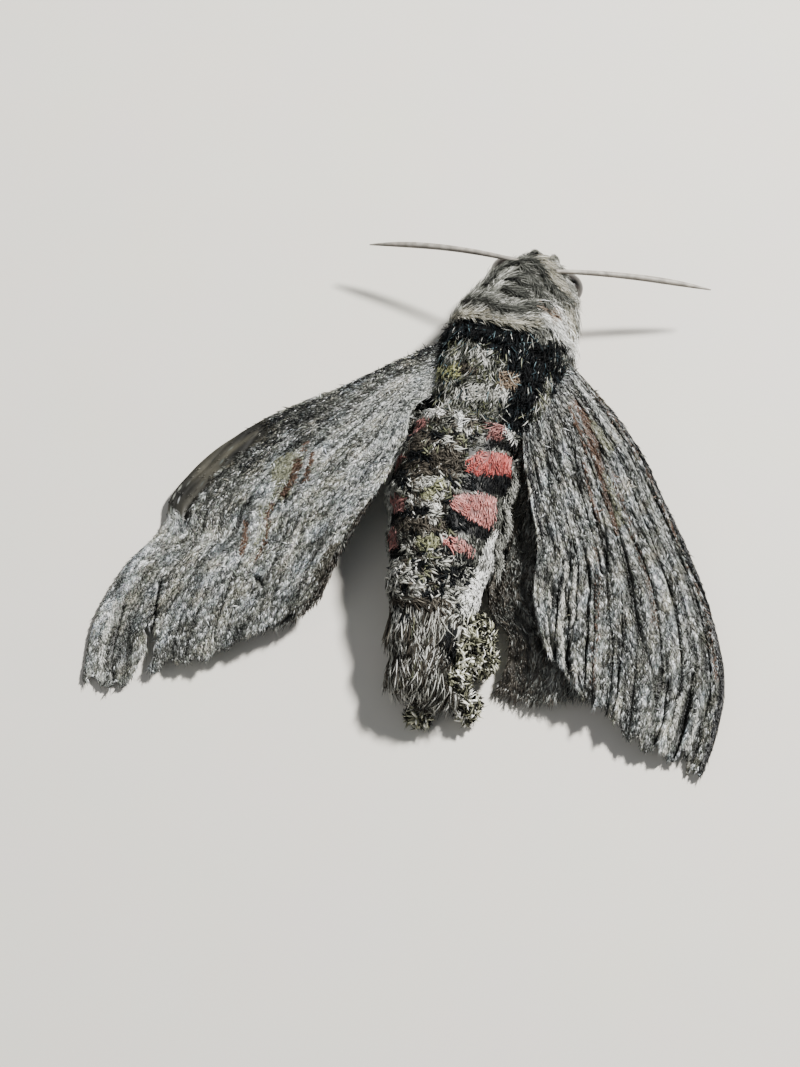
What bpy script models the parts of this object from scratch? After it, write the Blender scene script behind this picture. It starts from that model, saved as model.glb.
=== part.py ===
"""Convolvulus hawk moth, Agrius convolvuli: a worn moth at rest, life size.

Sizes are written in millimetres and become metres at MM. +Z is up, +Y is towards the head, -X is
the moth's left, and the origin is where the middle of the thorax rests on the floor.
The trunk is modelled whole and parted by thin cuts. Wings, legs, feelers and mouthparts are then
trimmed by a copy of the trunk that is grown by the gap, so that they meet it without touching.
"""

import math

import bmesh
import bpy
from mathutils import Matrix, Vector, kdtree

MM = 0.001
GAP = 0.3

# The trunk, from the front of the head to the tip of the abdomen.
FRONT, TAIL = 13.2, -35.6
NECK, WAIST, TIP_CUT = 7.8, -7.6, -29.5
FRONT_ROUNDING, TAIL_ROUNDING = 4.6, 2.2
RINGS, SIDES = 42, 22
# y, half width, top, bottom and sideways sway of the trunk's middle line.
STATIONS = (
    (13.2, 3.2, 7.6, 3.2, 0.5),
    (10.4, 4.4, 8.6, 2.9, 0.7),
    (7.8, 5.5, 9.4, 1.6, 0.5),
    (4.6, 6.6, 11.2, 0.1, 0.2),
    (0.5, 7.1, 12.2, -0.3, 0.0),
    (-4.0, 6.7, 11.4, -0.3, -0.2),
    (-7.6, 5.6, 10.3, -0.1, -0.9),
    (-11.0, 5.9, 10.6, -0.3, -1.5),
    (-16.0, 6.1, 10.2, -0.3, -1.2),
    (-21.0, 5.5, 9.2, -0.3, -0.2),
    (-26.0, 4.6, 7.8, -0.3, 0.3),
    (-31.0, 4.1, 6.6, -0.3, 1.2),
    (-35.6, 3.7, 5.2, 0.0, 2.2),
)
SEGMENT = 4.3
SEGMENT_SWELL = 0.025

# The head points a little to the right: the eyes and the palps are set out from this line.
HEAD_MIDDLE = 0.6
EYE_RADIUS = 1.6
EYE = (3.2, 10.4, 5.0)

PALP = (1.0, 12.9, 4.0)
PALP_RADII = (0.8, 1.0, 1.7)

# Matted scales against the right side of the tail, turned a little about the vertical.
CLUMP = (5.7, -28.3, 2.65)
CLUMP_RADII = (2.5, 3.4, 2.6)
CLUMP_TURN = 0.15

WING_THICKNESS = 0.6
HINDWING_DROP = 1.3
# How steeply a hindwing sinks where it reaches out from under the forewing, and from how far out.
HINDWING_SINK, SINK_START = 0.45, 0.6
FOREWING_CAMBER = 0.9

LEG_SIDES_RESOLUTION = 2


def clear_scene():
    for obj in list(bpy.data.objects):
        bpy.data.objects.remove(obj)


def new_collection(name):
    collection = bpy.data.collections.new(name)
    bpy.context.scene.collection.children.link(collection)
    return collection


def material(name, color, roughness, metallic=0.0):
    made = bpy.data.materials.new(name)
    made.use_nodes = True
    shader = made.node_tree.nodes["Principled BSDF"]
    shader.inputs["Base Color"].default_value = (*color, 1.0)
    shader.inputs["Roughness"].default_value = roughness
    shader.inputs["Metallic"].default_value = metallic
    return made


def object_from(bm, name, collection, finish=None):
    """Turns a bmesh in millimetres into an object in metres."""
    bmesh.ops.scale(bm, vec=(MM, MM, MM), verts=bm.verts)
    mesh = bpy.data.meshes.new(name)
    bm.to_mesh(mesh)
    bm.free()
    obj = bpy.data.objects.new(name, mesh)
    collection.objects.link(obj)
    if finish:
        mesh.materials.append(finish)
        mesh.shade_smooth()
    return obj


def frozen(obj, name, collection, finish):
    """A mesh object of what obj's modifiers or bevel make, with doubles merged; obj is removed."""
    bpy.context.view_layer.update()
    graph = bpy.context.evaluated_depsgraph_get()
    mesh = bpy.data.meshes.new_from_object(obj.evaluated_get(graph))
    matrix = obj.matrix_world.copy()
    bpy.data.objects.remove(obj)
    bm = bmesh.new()
    bm.from_mesh(mesh)
    bmesh.ops.remove_doubles(bm, verts=bm.verts, dist=0.01 * MM)
    for vertex in bm.verts:
        vertex.co.z = max(vertex.co.z, 0.0)
    bmesh.ops.recalc_face_normals(bm, faces=bm.faces)
    bm.to_mesh(mesh)
    bm.free()
    mesh.materials.clear()
    mesh.materials.append(finish)
    mesh.name = name
    made = bpy.data.objects.new(name, mesh)
    made.matrix_world = matrix
    collection.objects.link(made)
    mesh.shade_smooth()
    return made


def cut_by(obj, cutter):
    modifier = obj.modifiers.new("clearance", "BOOLEAN")
    modifier.operation = "DIFFERENCE"
    modifier.object = cutter


# ---- trunk ----------------------------------------------------------------------------------


def station(y):
    """Half width, top, bottom and sway at y, on smooth curves through the stations."""
    rows = STATIONS
    y = min(max(y, rows[-1][0]), rows[0][0])
    i = next(k for k in range(len(rows) - 1) if y >= rows[k + 1][0])
    before, start, end, after = rows[max(i - 1, 0)], rows[i], rows[i + 1], rows[min(i + 2, len(rows) - 1)]
    f = (y - start[0]) / (end[0] - start[0])
    step = end[0] - start[0]
    values = []
    for k in range(1, 5):
        slope_in = (end[k] - before[k]) / (end[0] - before[0]) * step
        slope_out = (after[k] - start[k]) / (after[0] - start[0]) * step
        values.append(
            (2 * f**3 - 3 * f**2 + 1) * start[k]
            + (f**3 - 2 * f**2 + f) * slope_in
            + (3 * f**2 - 2 * f**3) * end[k]
            + (f**3 - f**2) * slope_out
        )
    return values


def rounding(y):
    """1 along the trunk, falling to 0 on a quarter circle at each end."""
    near = min((FRONT - y) / FRONT_ROUNDING, (y - TAIL) / TAIL_ROUNDING)
    left = 1 - min(max(near, 0.0), 1.0)
    return math.sqrt(1 - left * left)


def trunk_point(y, angle, grow=0.0):
    """A point of the trunk's surface; angle 0 is the moth's right side and 90 degrees the back."""
    half, top, bottom, sway = station(y)
    if y < WAIST:
        half *= 1 + SEGMENT_SWELL * math.cos(2 * math.pi * (y - WAIST) / SEGMENT)
    middle, rise = (top + bottom) / 2, (top - bottom) / 2
    end = rounding(y)
    x = sway + (half * end + grow) * math.cos(angle)
    z = middle + (rise * end + grow) * math.sin(angle)
    return Vector((x, y, max(z, -grow)))


def trunk_mesh(grow=0.0):
    """The whole trunk, from a sphere whose rings are moved to stations along the body."""
    bm = bmesh.new()
    bmesh.ops.create_uvsphere(bm, u_segments=SIDES, v_segments=RINGS, radius=1.0)
    front, tail = FRONT + grow, TAIL - grow
    for vertex in bm.verts:
        along = math.acos(max(-1.0, min(1.0, vertex.co.z))) / math.pi
        angle = math.atan2(vertex.co.y, vertex.co.x)
        y = front + (tail - front) * along
        inside = min(max(y, TAIL), FRONT)
        vertex.co = trunk_point(inside, angle, grow)
        vertex.co.y = y
        if along < 1e-6 or along > 1 - 1e-6:
            vertex.co = trunk_point(inside, 0.0)
            vertex.co.y = y
    bmesh.ops.recalc_face_normals(bm, faces=bm.faces)
    return bm


def slice_of_trunk(name, ahead, behind, collection, finish):
    """The trunk between two cuts across it, each side of a cut set back by half the gap."""
    bm = trunk_mesh()
    for y, keeps_lower in ((ahead, True), (behind, False)):
        if y is None:
            continue
        place = (0, y - GAP / 2, 0) if keeps_lower else (0, y + GAP / 2, 0)
        bmesh.ops.bisect_plane(
            bm,
            geom=bm.verts[:] + bm.edges[:] + bm.faces[:],
            plane_co=place,
            plane_no=(0, 1, 0) if keeps_lower else (0, -1, 0),
            clear_outer=True,
        )
        rim = [edge for edge in bm.edges if edge.is_boundary]
        bmesh.ops.holes_fill(bm, edges=rim, sides=0)
    bmesh.ops.recalc_face_normals(bm, faces=bm.faces)
    return object_from(bm, name, collection, finish)


def ellipsoid(name, centre, radii, turn, collection, finish, sides=14, rings=9):
    bm = bmesh.new()
    bmesh.ops.create_uvsphere(bm, u_segments=sides, v_segments=rings, radius=1.0)
    bmesh.ops.scale(bm, vec=radii, verts=bm.verts)
    bmesh.ops.rotate(bm, matrix=Matrix.Rotation(turn, 3, "Z"), verts=bm.verts)
    bmesh.ops.translate(bm, vec=centre, verts=bm.verts)
    for vertex in bm.verts:
        vertex.co.z = max(vertex.co.z, 0.0)
    return object_from(bm, name, collection, finish)


# ---- wings ----------------------------------------------------------------------------------

# Each wing lies between three lines of x, y, z: its front edge and its rear edge, both from the
# root outwards, and its outer margin from the tip back to the rear corner.
FOREWING_LINES = {
    "left": (
        ((-4.8, 1.0, 8.2), (-8.2, -1.6, 7.6), (-14.8, -6.7, 5.4), (-21.7, -11.7, 3.1),
         (-27.0, -18.4, 1.3), (-28.2, -21.9, 0.8), (-27.9, -23.6, 0.7), (-30.2, -29.3, 0.5),
         (-31.4, -36.2, 0.35), (-30.5, -42.2, 0.3)),
        ((-4.4, -4.6, 8.2), (-7.0, -7.9, 7.6), (-6.8, -11.7, 7.0), (-7.9, -16.1, 6.2),
         (-9.6, -20.6, 5.4), (-10.6, -25.1, 4.6), (-11.4, -28.6, 3.9)),
        ((-30.5, -42.2, 0.3), (-26.8, -41.9, 0.6), (-24.9, -40.4, 0.8), (-23.0, -38.4, 1.4),
         (-20.1, -37.4, 1.7), (-16.8, -34.4, 2.5), (-13.8, -31.7, 3.2), (-11.4, -28.6, 3.9)),
    ),
    "right": (
        ((4.6, 2.6, 8.4), (7.7, 0.8, 7.4), (11.6, -1.4, 6.0), (15.7, -4.3, 4.4),
         (19.6, -8.5, 2.8), (23.4, -12.7, 1.5), (27.5, -18.6, 0.7), (30.0, -24.0, 0.45),
         (30.6, -29.4, 0.3), (30.3, -34.3, 0.3)),
        ((3.2, -3.0, 8.6), (3.7, -5.6, 8.0), (4.9, -9.3, 7.0), (6.7, -13.1, 6.3),
         (8.7, -17.3, 5.6), (9.6, -21.6, 5.0), (10.9, -24.8, 4.3), (12.4, -27.0, 4.0)),
        ((30.3, -34.3, 0.3), (27.7, -33.4, 0.8), (23.0, -32.9, 1.7), (20.7, -31.5, 2.1),
         (16.8, -30.0, 3.0), (14.2, -28.2, 3.7), (12.4, -27.0, 4.0)),
    ),
}
# The hindwings hang a set drop below the forewings, so their lines hold no height of their own.
HINDWING_LINES = {
    "left": (
        ((-4.8, -3.4, 0), (-10.0, -9.0, 0), (-16.0, -16.0, 0), (-20.5, -24.0, 0), (-20.8, -28.0, 0)),
        ((-4.4, -7.0, 0), (-7.4, -12.0, 0), (-8.4, -17.0, 0), (-9.6, -22.0, 0), (-10.3, -27.2, 0)),
        ((-20.8, -28.0, 0), (-18.4, -31.0, 0), (-15.2, -32.0, 0), (-12.6, -30.6, 0), (-10.3, -27.2, 0)),
    ),
    "right": (
        ((4.6, -3.4, 0), (10.0, -8.0, 0), (16.0, -14.0, 0), (20.5, -21.0, 0), (21.0, -25.0, 0)),
        ((3.8, -7.2, 0), (5.4, -12.2, 0), (5.2, -17.0, 0), (4.9, -21.0, 0), (5.9, -23.8, 0),
         (8.5, -26.2, 0), (9.0, -28.6, 0), (8.7, -31.0, 0)),
        ((21.0, -25.0, 0), (18.6, -28.6, 0), (15.4, -30.2, 0), (12.4, -31.2, 0), (8.7, -31.0, 0)),
    ),
}
# How many folds run the length of a forewing, and how deep they are at its margin.
PLEATS = {"left": (4, 0.12), "right": (8, 0.32)}
# The slit torn into the left margin: its line from the margin to its end, and half its width.
TEAR = ((-25.5, -43.2, 1.3), (-25.2, -40.0, 0.8), (-25.1, -37.0, 0.45), (-25.5, -35.0, 0.35))


def smooth_line(points, f):
    """The place at fraction f of the length of a smooth curve through the points."""
    points = [Vector(point) for point in points]
    lengths = [0.0]
    for start, end in zip(points, points[1:]):
        lengths.append(lengths[-1] + (end - start).length)
    target = min(max(f, 0.0), 1.0) * lengths[-1]
    i = next(k for k in range(len(points) - 1) if target <= lengths[k + 1] + 1e-9)
    before, after = points[max(i - 1, 0)], points[min(i + 2, len(points) - 1)]
    start, end = points[i], points[i + 1]
    t = (target - lengths[i]) / (lengths[i + 1] - lengths[i])
    slope_in, slope_out = (end - before) / 2, (after - start) / 2
    return (
        start * (2 * t**3 - 3 * t**2 + 1)
        + slope_in * (t**3 - 2 * t**2 + t)
        + end * (3 * t**2 - 2 * t**3)
        + slope_out * (t**3 - t**2)
    )


def wing_point(lines, span, chord):
    """A place on the sheet stretched between a wing's lines.

    span is 0 at the root and 1 at the margin; chord is 0 on the front edge and 1 on the rear one.
    """
    front, rear, margin = lines
    root = Vector(front[0]).lerp(Vector(rear[0]), chord)
    sides = smooth_line(front, span).lerp(smooth_line(rear, span), chord)
    ends = root.lerp(smooth_line(margin, chord), span)
    corners = root.lerp(Vector(margin[0]).lerp(Vector(margin[-1]), chord), span)
    return sides + ends - corners


def forewing_point(side, span, chord):
    place = wing_point(FOREWING_LINES[side], span, chord)
    folds, depth = PLEATS[side]
    camber = FOREWING_CAMBER * math.sin(math.pi * span) * math.sin(math.pi * chord)
    place.z += camber + depth * span * math.cos(2 * math.pi * folds * chord)
    return place


def height_below(side, steps=24):
    """A function that gives the height of a sheet hanging under a forewing, at any place."""
    tree = kdtree.KDTree((steps + 1) ** 2)
    heights = []
    for i in range(steps + 1):
        for j in range(steps + 1):
            place = wing_point(FOREWING_LINES[side], i / steps, j / steps)
            tree.insert((place.x, place.y, 0.0), len(heights))
            camber = FOREWING_CAMBER * math.sin(math.pi * i / steps) * math.sin(math.pi * j / steps)
            heights.append(place.z + camber)
    tree.balance()

    def height(x, y):
        near = tree.find_n((x, y, 0.0), 8)
        weights = [1 / (distance + 0.3) ** 2 for _, _, distance in near]
        mean = sum(w * heights[i] for w, (_, i, _) in zip(weights, near)) / sum(weights)
        sink = HINDWING_SINK * max(near[0][2] - SINK_START, 0.0)
        return max(mean - HINDWING_DROP - sink, WING_THICKNESS / 2)

    return height


def wing_object(name, place_at, spans, chords, cutters, collection, finish):
    """A wing from a flat grid laid between its lines, thickened, and trimmed by the cutters."""
    bm = bmesh.new()
    bmesh.ops.create_grid(bm, x_segments=spans, y_segments=chords, size=0.5)
    for vertex in bm.verts:
        vertex.co = place_at(vertex.co.x + 0.5, vertex.co.y + 0.5)
    sheet = object_from(bm, name + "_sheet", collection)
    solidify = sheet.modifiers.new("membrane", "SOLIDIFY")
    solidify.thickness = WING_THICKNESS * MM
    solidify.offset = 0.0
    made = frozen(sheet, name, collection, finish)
    for cutter in cutters:
        cut_by(made, cutter)


def build_wings(side, clearance, moth, cutters, membrane, pale_membrane):
    forewing_cutters = [clearance]
    if side == "left":
        tear = bmesh.new()
        outline = []
        for x, y, half in TEAR:
            outline.append((x - half, y))
            outline.insert(0, (x + half, y))
        base = tear.faces.new([tear.verts.new((x, y, -2.0)) for x, y in outline])
        top = bmesh.ops.extrude_face_region(tear, geom=[base])
        raised = [item for item in top["geom"] if isinstance(item, bmesh.types.BMVert)]
        bmesh.ops.translate(tear, vec=(0, 0, 8.0), verts=raised)
        bmesh.ops.recalc_face_normals(tear, faces=tear.faces)
        slit = object_from(tear, "tear", cutters)
        hide(slit)
        forewing_cutters.append(slit)
    spans, chords = (14, 24) if side == "left" else (12, 32)
    wing_object(
        "forewing_" + side,
        lambda span, chord: forewing_point(side, span, chord),
        spans,
        chords,
        forewing_cutters,
        moth,
        membrane,
    )
    below = height_below(side)

    def hindwing_point(span, chord):
        place = wing_point(HINDWING_LINES[side], span, chord)
        return Vector((place.x, place.y, below(place.x, place.y)))

    wing_object("hindwing_" + side, hindwing_point, 9, 12, [clearance], moth, pale_membrane)


# ---- legs, feelers and mouthparts -----------------------------------------------------------


def tube(name, points, radii, collection, finish, cutter=None):
    """A round tube through the points in millimetres, with its own radius at each."""
    curve = bpy.data.curves.new(name + "_line", "CURVE")
    curve.dimensions = "3D"
    curve.bevel_depth = MM
    curve.bevel_resolution = LEG_SIDES_RESOLUTION
    curve.use_fill_caps = True
    spline = curve.splines.new("POLY")
    spline.points.add(len(points) - 1)
    for knot, place, radius in zip(spline.points, points, radii):
        knot.co = (*(Vector(place) * MM), 1.0)
        knot.radius = radius
    line = bpy.data.objects.new(name + "_line", curve)
    collection.objects.link(line)
    made = frozen(line, name, collection, finish)
    if cutter:
        cut_by(made, cutter)
    return made


def limb(joints, radii, steps=3):
    """Points and radii along a leg: each segment is a straight length that swells in its middle."""
    points, sizes = [], []
    for k in range(len(joints) - 1):
        start, end = Vector(joints[k]), Vector(joints[k + 1])
        for i in range(steps):
            f = i / steps
            points.append(start.lerp(end, f))
            sizes.append(radii[k] * (0.86 + 0.2 * math.sin(math.pi * f)))
    points.append(Vector(joints[-1]))
    sizes.append(radii[-1] * 0.86)
    return points, sizes


LEG_RADII = (0.6, 0.44, 0.3)
# The joints of each leg: hip, knee, ankle and toe.
LEGS = {
    "foreleg_left": ((-2.9, 7.4, 1.9), (-3.0, 10.4, 2.0), (-2.3, 12.4, 1.0), (-1.5, 14.0, 0.28)),
    "foreleg_right": ((3.7, 7.4, 1.9), (4.2, 10.2, 2.0), (3.6, 12.2, 1.0), (3.1, 13.8, 0.28)),
    "midleg_left": ((-4.6, -1.2, 2.2), (-9.0, -2.6, 2.8), (-11.4, -5.8, 1.0), (-13.8, -9.8, 0.28)),
    "midleg_right": ((4.6, -0.8, 2.2), (8.2, -3.2, 2.8), (11.0, -6.4, 1.0), (13.8, -9.6, 0.28)),
    "hindleg_left": ((-4.8, -4.4, 2.2), (-9.0, -7.4, 2.6), (-10.4, -13.4, 0.9), (-10.6, -19.0, 0.28)),
    "hindleg_right": ((4.8, -4.4, 2.2), (8.2, -7.4, 2.6), (8.6, -13.4, 0.9), (9.0, -19.0, 0.28)),
}

ANTENNA_RADII = (0.26, 0.34, 0.26)
# Root, middle and tip of each antenna.
ANTENNAE = {
    "antenna_left": ((-1.3, 10.6, 7.9), (-9.3, 10.5, 6.4), (-16.8, 9.4, 4.6)),
    "antenna_right": ((2.4, 10.6, 7.9), (10.1, 13.0, 6.4), (17.7, 14.7, 4.6)),
}
ANTENNA_POINTS = 12


def arc_through(root, middle, tip, count):
    """Points on a smooth curve that starts at root, passes middle halfway and ends at tip."""
    root, middle, tip = Vector(root), Vector(middle), Vector(tip)
    handle = 2 * middle - (root + tip) / 2
    for i in range(count):
        f = i / (count - 1)
        yield root * (1 - f) ** 2 + handle * 2 * f * (1 - f) + tip * f * f


def antenna_radius(f):
    """Thin at the root, thickest past the middle, and drawn to a fine tip."""
    root, widest, tip = ANTENNA_RADII
    if f < 0.65:
        return root + (widest - root) * math.sin(math.pi / 2 * f / 0.65)
    return widest + (tip - widest) * ((f - 0.65) / 0.35) ** 2


PROBOSCIS_CENTRE = (HEAD_MIDDLE, 10.7, 1.5)
PROBOSCIS_RADIUS, PROBOSCIS_PITCH, PROBOSCIS_TURNS = 0.4, 0.66, 1.4
PROBOSCIS_POINTS = 20


def proboscis_points():
    """The sucking tube rolled into a flat upright coil below the head."""
    centre = Vector(PROBOSCIS_CENTRE)
    for i in range(PROBOSCIS_POINTS):
        turn = PROBOSCIS_TURNS * i / (PROBOSCIS_POINTS - 1)
        angle = 2 * math.pi * turn
        radius = PROBOSCIS_RADIUS + PROBOSCIS_PITCH * turn
        yield centre + Vector((0.0, radius * math.cos(angle), radius * math.sin(angle)))


# ---- the moth -------------------------------------------------------------------------------


def build_trunk(moth, cutters, fur, scales, glassy):
    head = slice_of_trunk("head", None, NECK, moth, fur)
    slice_of_trunk("thorax", NECK, WAIST, moth, fur)
    slice_of_trunk("abdomen", WAIST, TIP_CUT, moth, scales)
    slice_of_trunk("abdomen_tip", TIP_CUT, None, moth, scales)
    for side, name in ((-1, "eye_left"), (1, "eye_right")):
        centre = (HEAD_MIDDLE + side * EYE[0], EYE[1], EYE[2])
        ellipsoid(name, centre, (EYE_RADIUS,) * 3, 0.0, moth, glassy, 16, 10)
        socket = ellipsoid(name + "_socket", centre, (EYE_RADIUS + GAP,) * 3, 0.0, cutters, None, 16, 10)
        hide(socket)
        cut_by(head, socket)


def hide(cutter):
    cutter.hide_render = True
    cutter.display_type = "WIRE"


def main():
    clear_scene()
    moth = new_collection("hawk_moth")
    cutters = new_collection("cutters")

    fur = material("body_fur", (0.17, 0.16, 0.145), 0.9)
    scales = material("abdomen_scales", (0.24, 0.21, 0.18), 0.85)
    membrane = material("wing_scales", (0.20, 0.19, 0.175), 0.75)
    pale_membrane = material("hindwing_scales", (0.25, 0.22, 0.19), 0.75)
    horn = material("leg_horn", (0.17, 0.14, 0.11), 0.6)
    feeler = material("antenna_horn", (0.26, 0.23, 0.20), 0.6)
    glassy = material("eye_black", (0.02, 0.018, 0.015), 0.15)

    trunk_clearance = object_from(trunk_mesh(GAP), "trunk_clearance", cutters)
    hide(trunk_clearance)
    build_trunk(moth, cutters, fur, scales, glassy)

    for sign, side in ((-1, "left"), (1, "right")):
        build_wings(side, trunk_clearance, moth, cutters, membrane, pale_membrane)
        place = (HEAD_MIDDLE + sign * PALP[0], PALP[1], PALP[2])
        palp = ellipsoid("palp_" + side, place, PALP_RADII, 0.0, moth, fur, 12, 8)
        cut_by(palp, trunk_clearance)

    clump = ellipsoid("tail_clump", CLUMP, CLUMP_RADII, CLUMP_TURN, moth, scales)
    cut_by(clump, trunk_clearance)

    for name, joints in LEGS.items():
        points, sizes = limb(joints, LEG_RADII)
        tube(name, points, sizes, moth, horn, trunk_clearance)
    for name, bends in ANTENNAE.items():
        points = list(arc_through(*bends, ANTENNA_POINTS))
        sizes = [antenna_radius(i / (ANTENNA_POINTS - 1)) for i in range(ANTENNA_POINTS)]
        tube(name, points, sizes, moth, feeler, trunk_clearance)
    tube("proboscis", list(proboscis_points()), [0.26] * PROBOSCIS_POINTS, moth, horn)


main()
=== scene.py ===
import math

import bmesh
import bpy
import numpy as np
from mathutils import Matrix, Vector, kdtree


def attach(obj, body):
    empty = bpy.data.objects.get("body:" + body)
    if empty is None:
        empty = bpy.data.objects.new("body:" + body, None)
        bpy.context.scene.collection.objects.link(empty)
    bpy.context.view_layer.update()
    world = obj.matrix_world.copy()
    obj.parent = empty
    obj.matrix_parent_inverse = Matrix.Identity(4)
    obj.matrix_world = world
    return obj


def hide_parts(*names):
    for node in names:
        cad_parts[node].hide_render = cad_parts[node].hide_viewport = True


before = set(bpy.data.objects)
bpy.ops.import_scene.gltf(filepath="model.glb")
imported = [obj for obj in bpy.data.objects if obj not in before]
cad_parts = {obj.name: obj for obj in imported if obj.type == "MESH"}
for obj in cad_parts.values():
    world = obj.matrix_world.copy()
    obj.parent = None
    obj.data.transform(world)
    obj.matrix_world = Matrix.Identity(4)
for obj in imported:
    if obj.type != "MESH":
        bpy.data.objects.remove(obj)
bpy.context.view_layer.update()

# ==== Table, light and camera ====================================================================
# The moth lies on a pale matte table under one large soft lamp from its right front side,
# with a weak grey surround. Sizes in this file are millimetres unless a name says otherwise.

MM = 0.001


def linear(code):
    """Linear red, green and blue of an sRGB hex colour."""
    parts = np.array([int(code[k:k + 2], 16) / 255 for k in (1, 3, 5)])
    return np.where(parts <= 0.04045, parts / 12.92, ((parts + 0.055) / 1.055) ** 2.4)


def add_node(tree, kind, settings=(), links=()):
    """A node with its settings, which are properties or input values, and its incoming links."""
    made = tree.nodes.new(kind)
    for name, value in dict(settings).items():
        if isinstance(name, str) and hasattr(made, name):
            setattr(made, name, value)
        else:
            made.inputs[name].default_value = value
    for name, socket in dict(links).items():
        tree.links.new(socket, made.inputs[name])
    return made


def new_material(name):
    """A node material with no nodes yet, and its tree."""
    made = bpy.data.materials.new(name)
    made.use_nodes = True
    tree = made.node_tree
    tree.nodes.clear()
    return made, tree


def put_shader(tree, shader):
    """Wires a finished shader to the surface of its material."""
    add_node(tree, "ShaderNodeOutputMaterial", links={"Surface": shader.outputs[0]})


def rgba(code):
    """An sRGB hex colour as a linear colour socket takes it."""
    return (*linear(code), 1.0)


def shape_mesh(shape, name, rounded=True):
    """The mesh of a finished shape, with smooth shading if the shape is rounded."""
    made = bpy.data.meshes.new(name)
    shape.to_mesh(made)
    shape.free()
    if rounded:
        made.shade_smooth()
    return made


def add_object(mesh, name, finish):
    """An object in the scene made of a mesh and one material."""
    mesh.materials.clear()
    mesh.materials.append(finish)
    made = bpy.data.objects.new(name, mesh)
    bpy.context.scene.collection.objects.link(made)
    return made


# The table's colour, how far it reaches each way, and the width of a grain of its paint.
TABLE_GREY, TABLE_REACH, PAINT_GRAIN = "#d9d5cc", 1500, 10 / 3
# Matte paint: dull, with a grain so faint that the table looks plain.
table_paint, tree = new_material("matte_table_paint")
grain = add_node(tree, "ShaderNodeTexNoise", {"Scale": 1 / (PAINT_GRAIN * MM), "Detail": 3.0})
tone = add_node(
    tree, "ShaderNodeMix", {"data_type": "RGBA", 0: 0.04, 6: rgba(TABLE_GREY)},
    {7: grain.outputs["Color"]},
)
put_shader(tree, add_node(
    tree, "ShaderNodeBsdfPrincipled", {"Roughness": 0.85}, {"Base Color": tone.outputs[2]}))
shape = bmesh.new()
bmesh.ops.create_grid(shape, x_segments=1, y_segments=1, size=TABLE_REACH * MM)
add_object(shape_mesh(shape, "table", rounded=False), "table", table_paint)

SURROUND_GREY, SURROUND_STRENGTH = "#dfe6ef", 0.24
surround = bpy.data.worlds.new("surround")
bpy.context.scene.world = surround
surround.use_nodes = True
glow = surround.node_tree.nodes["Background"].inputs
glow["Color"].default_value = rgba(SURROUND_GREY)
glow["Strength"].default_value = SURROUND_STRENGTH

VIEW_AZIMUTH, VIEW_ELEVATION = math.radians(17), math.radians(70)
VIEW_AIM = Vector((-5.2, -18.0, 0.0)) * MM
VIEW_DISTANCE = 350 * MM
LENS_LENGTH, LENS_CLEARANCE = 118, 0.01
LAMP_WHITE = (1.0, 0.985, 0.955)
view_back = Vector((
    math.sin(VIEW_AZIMUTH) * math.cos(VIEW_ELEVATION),
    -math.cos(VIEW_AZIMUTH) * math.cos(VIEW_ELEVATION),
    math.sin(VIEW_ELEVATION),
))


def add_lamp(name, watts, width, right, ahead, height):
    """A square soft lamp aimed at the moth, placed in millimetres from it as the camera sees it."""
    data = bpy.data.lights.new(name, "AREA")
    data.energy, data.size, data.color = watts, width * MM, LAMP_WHITE
    lamp = bpy.data.objects.new(name, data)
    bpy.context.scene.collection.objects.link(lamp)
    across = Vector((math.cos(VIEW_AZIMUTH), math.sin(VIEW_AZIMUTH), 0.0))
    away = Vector((-math.sin(VIEW_AZIMUTH), math.cos(VIEW_AZIMUTH), 0.0))
    offset = (across * right + away * ahead + Vector((0, 0, height))) * MM
    lamp.location = VIEW_AIM + offset
    lamp.rotation_euler = offset.to_track_quat("Z", "Y").to_euler()


add_lamp("key_lamp", watts=9.6, width=55, right=300, ahead=230, height=380)
add_lamp("fill_lamp", watts=0.5, width=400, right=-350, ahead=-150, height=300)

lens = bpy.data.cameras.new("camera")
lens.lens, lens.clip_start = LENS_LENGTH, LENS_CLEARANCE
camera = bpy.data.objects.new("camera", lens)
bpy.context.scene.collection.objects.link(camera)
camera.location = VIEW_AIM + view_back * VIEW_DISTANCE
camera.rotation_euler = view_back.to_track_quat("Z", "Y").to_euler()
bpy.context.scene.camera = camera

# ==== Trunk: the skin of the head, thorax and abdomen =============================================
# One shell of horn from the face to the abdomen's end, grooved between the abdomen's rings. It
# lies inside the moth's outline by the depth of its coat, and where the coat is thin it shows
# the same markings at half their brightness, as painted shade under the hair.

FRONT_ROUNDING, TAIL_ROUNDING = 4.6, 2.2
WAIST, RING_LENGTH, RING_SWELL = -7.6, 4.3, 0.035
SKIN_CLEARANCE = 0.25
# y, half width, top, bottom, and sideways sway of the middle line.
STATIONS = np.array((
    (13.2, 3.2, 7.6, 3.2, 0.5),
    (10.4, 4.4, 8.6, 2.9, 0.7),
    (7.8, 5.5, 9.4, 1.6, 0.5),
    (4.6, 6.6, 11.2, 0.1, 0.2),
    (0.5, 7.1, 12.2, -0.3, 0.0),
    (-4.0, 6.7, 11.4, -0.3, -0.2),
    (-7.6, 5.6, 10.3, -0.1, -0.9),
    (-11.0, 5.9, 10.6, -0.3, -1.5),
    (-16.0, 6.1, 10.2, -0.3, -1.2),
    (-21.0, 5.5, 9.2, -0.3, -0.2),
    (-26.0, 4.6, 7.8, -0.3, 0.3),
    (-31.0, 4.1, 6.6, -0.3, 1.2),
    (-35.6, 3.7, 5.2, 0.0, 2.2),
))
FRONT, TAIL = STATIONS[0, 0], STATIONS[-1, 0]
# y, and how deep the coat is there.
COAT_DEPTH = np.array((
    (13.2, 0.35), (9.0, 0.45), (6.0, 0.6), (0.0, 0.7), (-6.0, 0.5), (-9.0, 0.3), (-24.0, 0.3),
    (-28.0, 0.5), (-35.6, 0.6),
))


def portion(value):
    """A value held between 0 and 1."""
    return np.clip(value, 0, 1)


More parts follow.
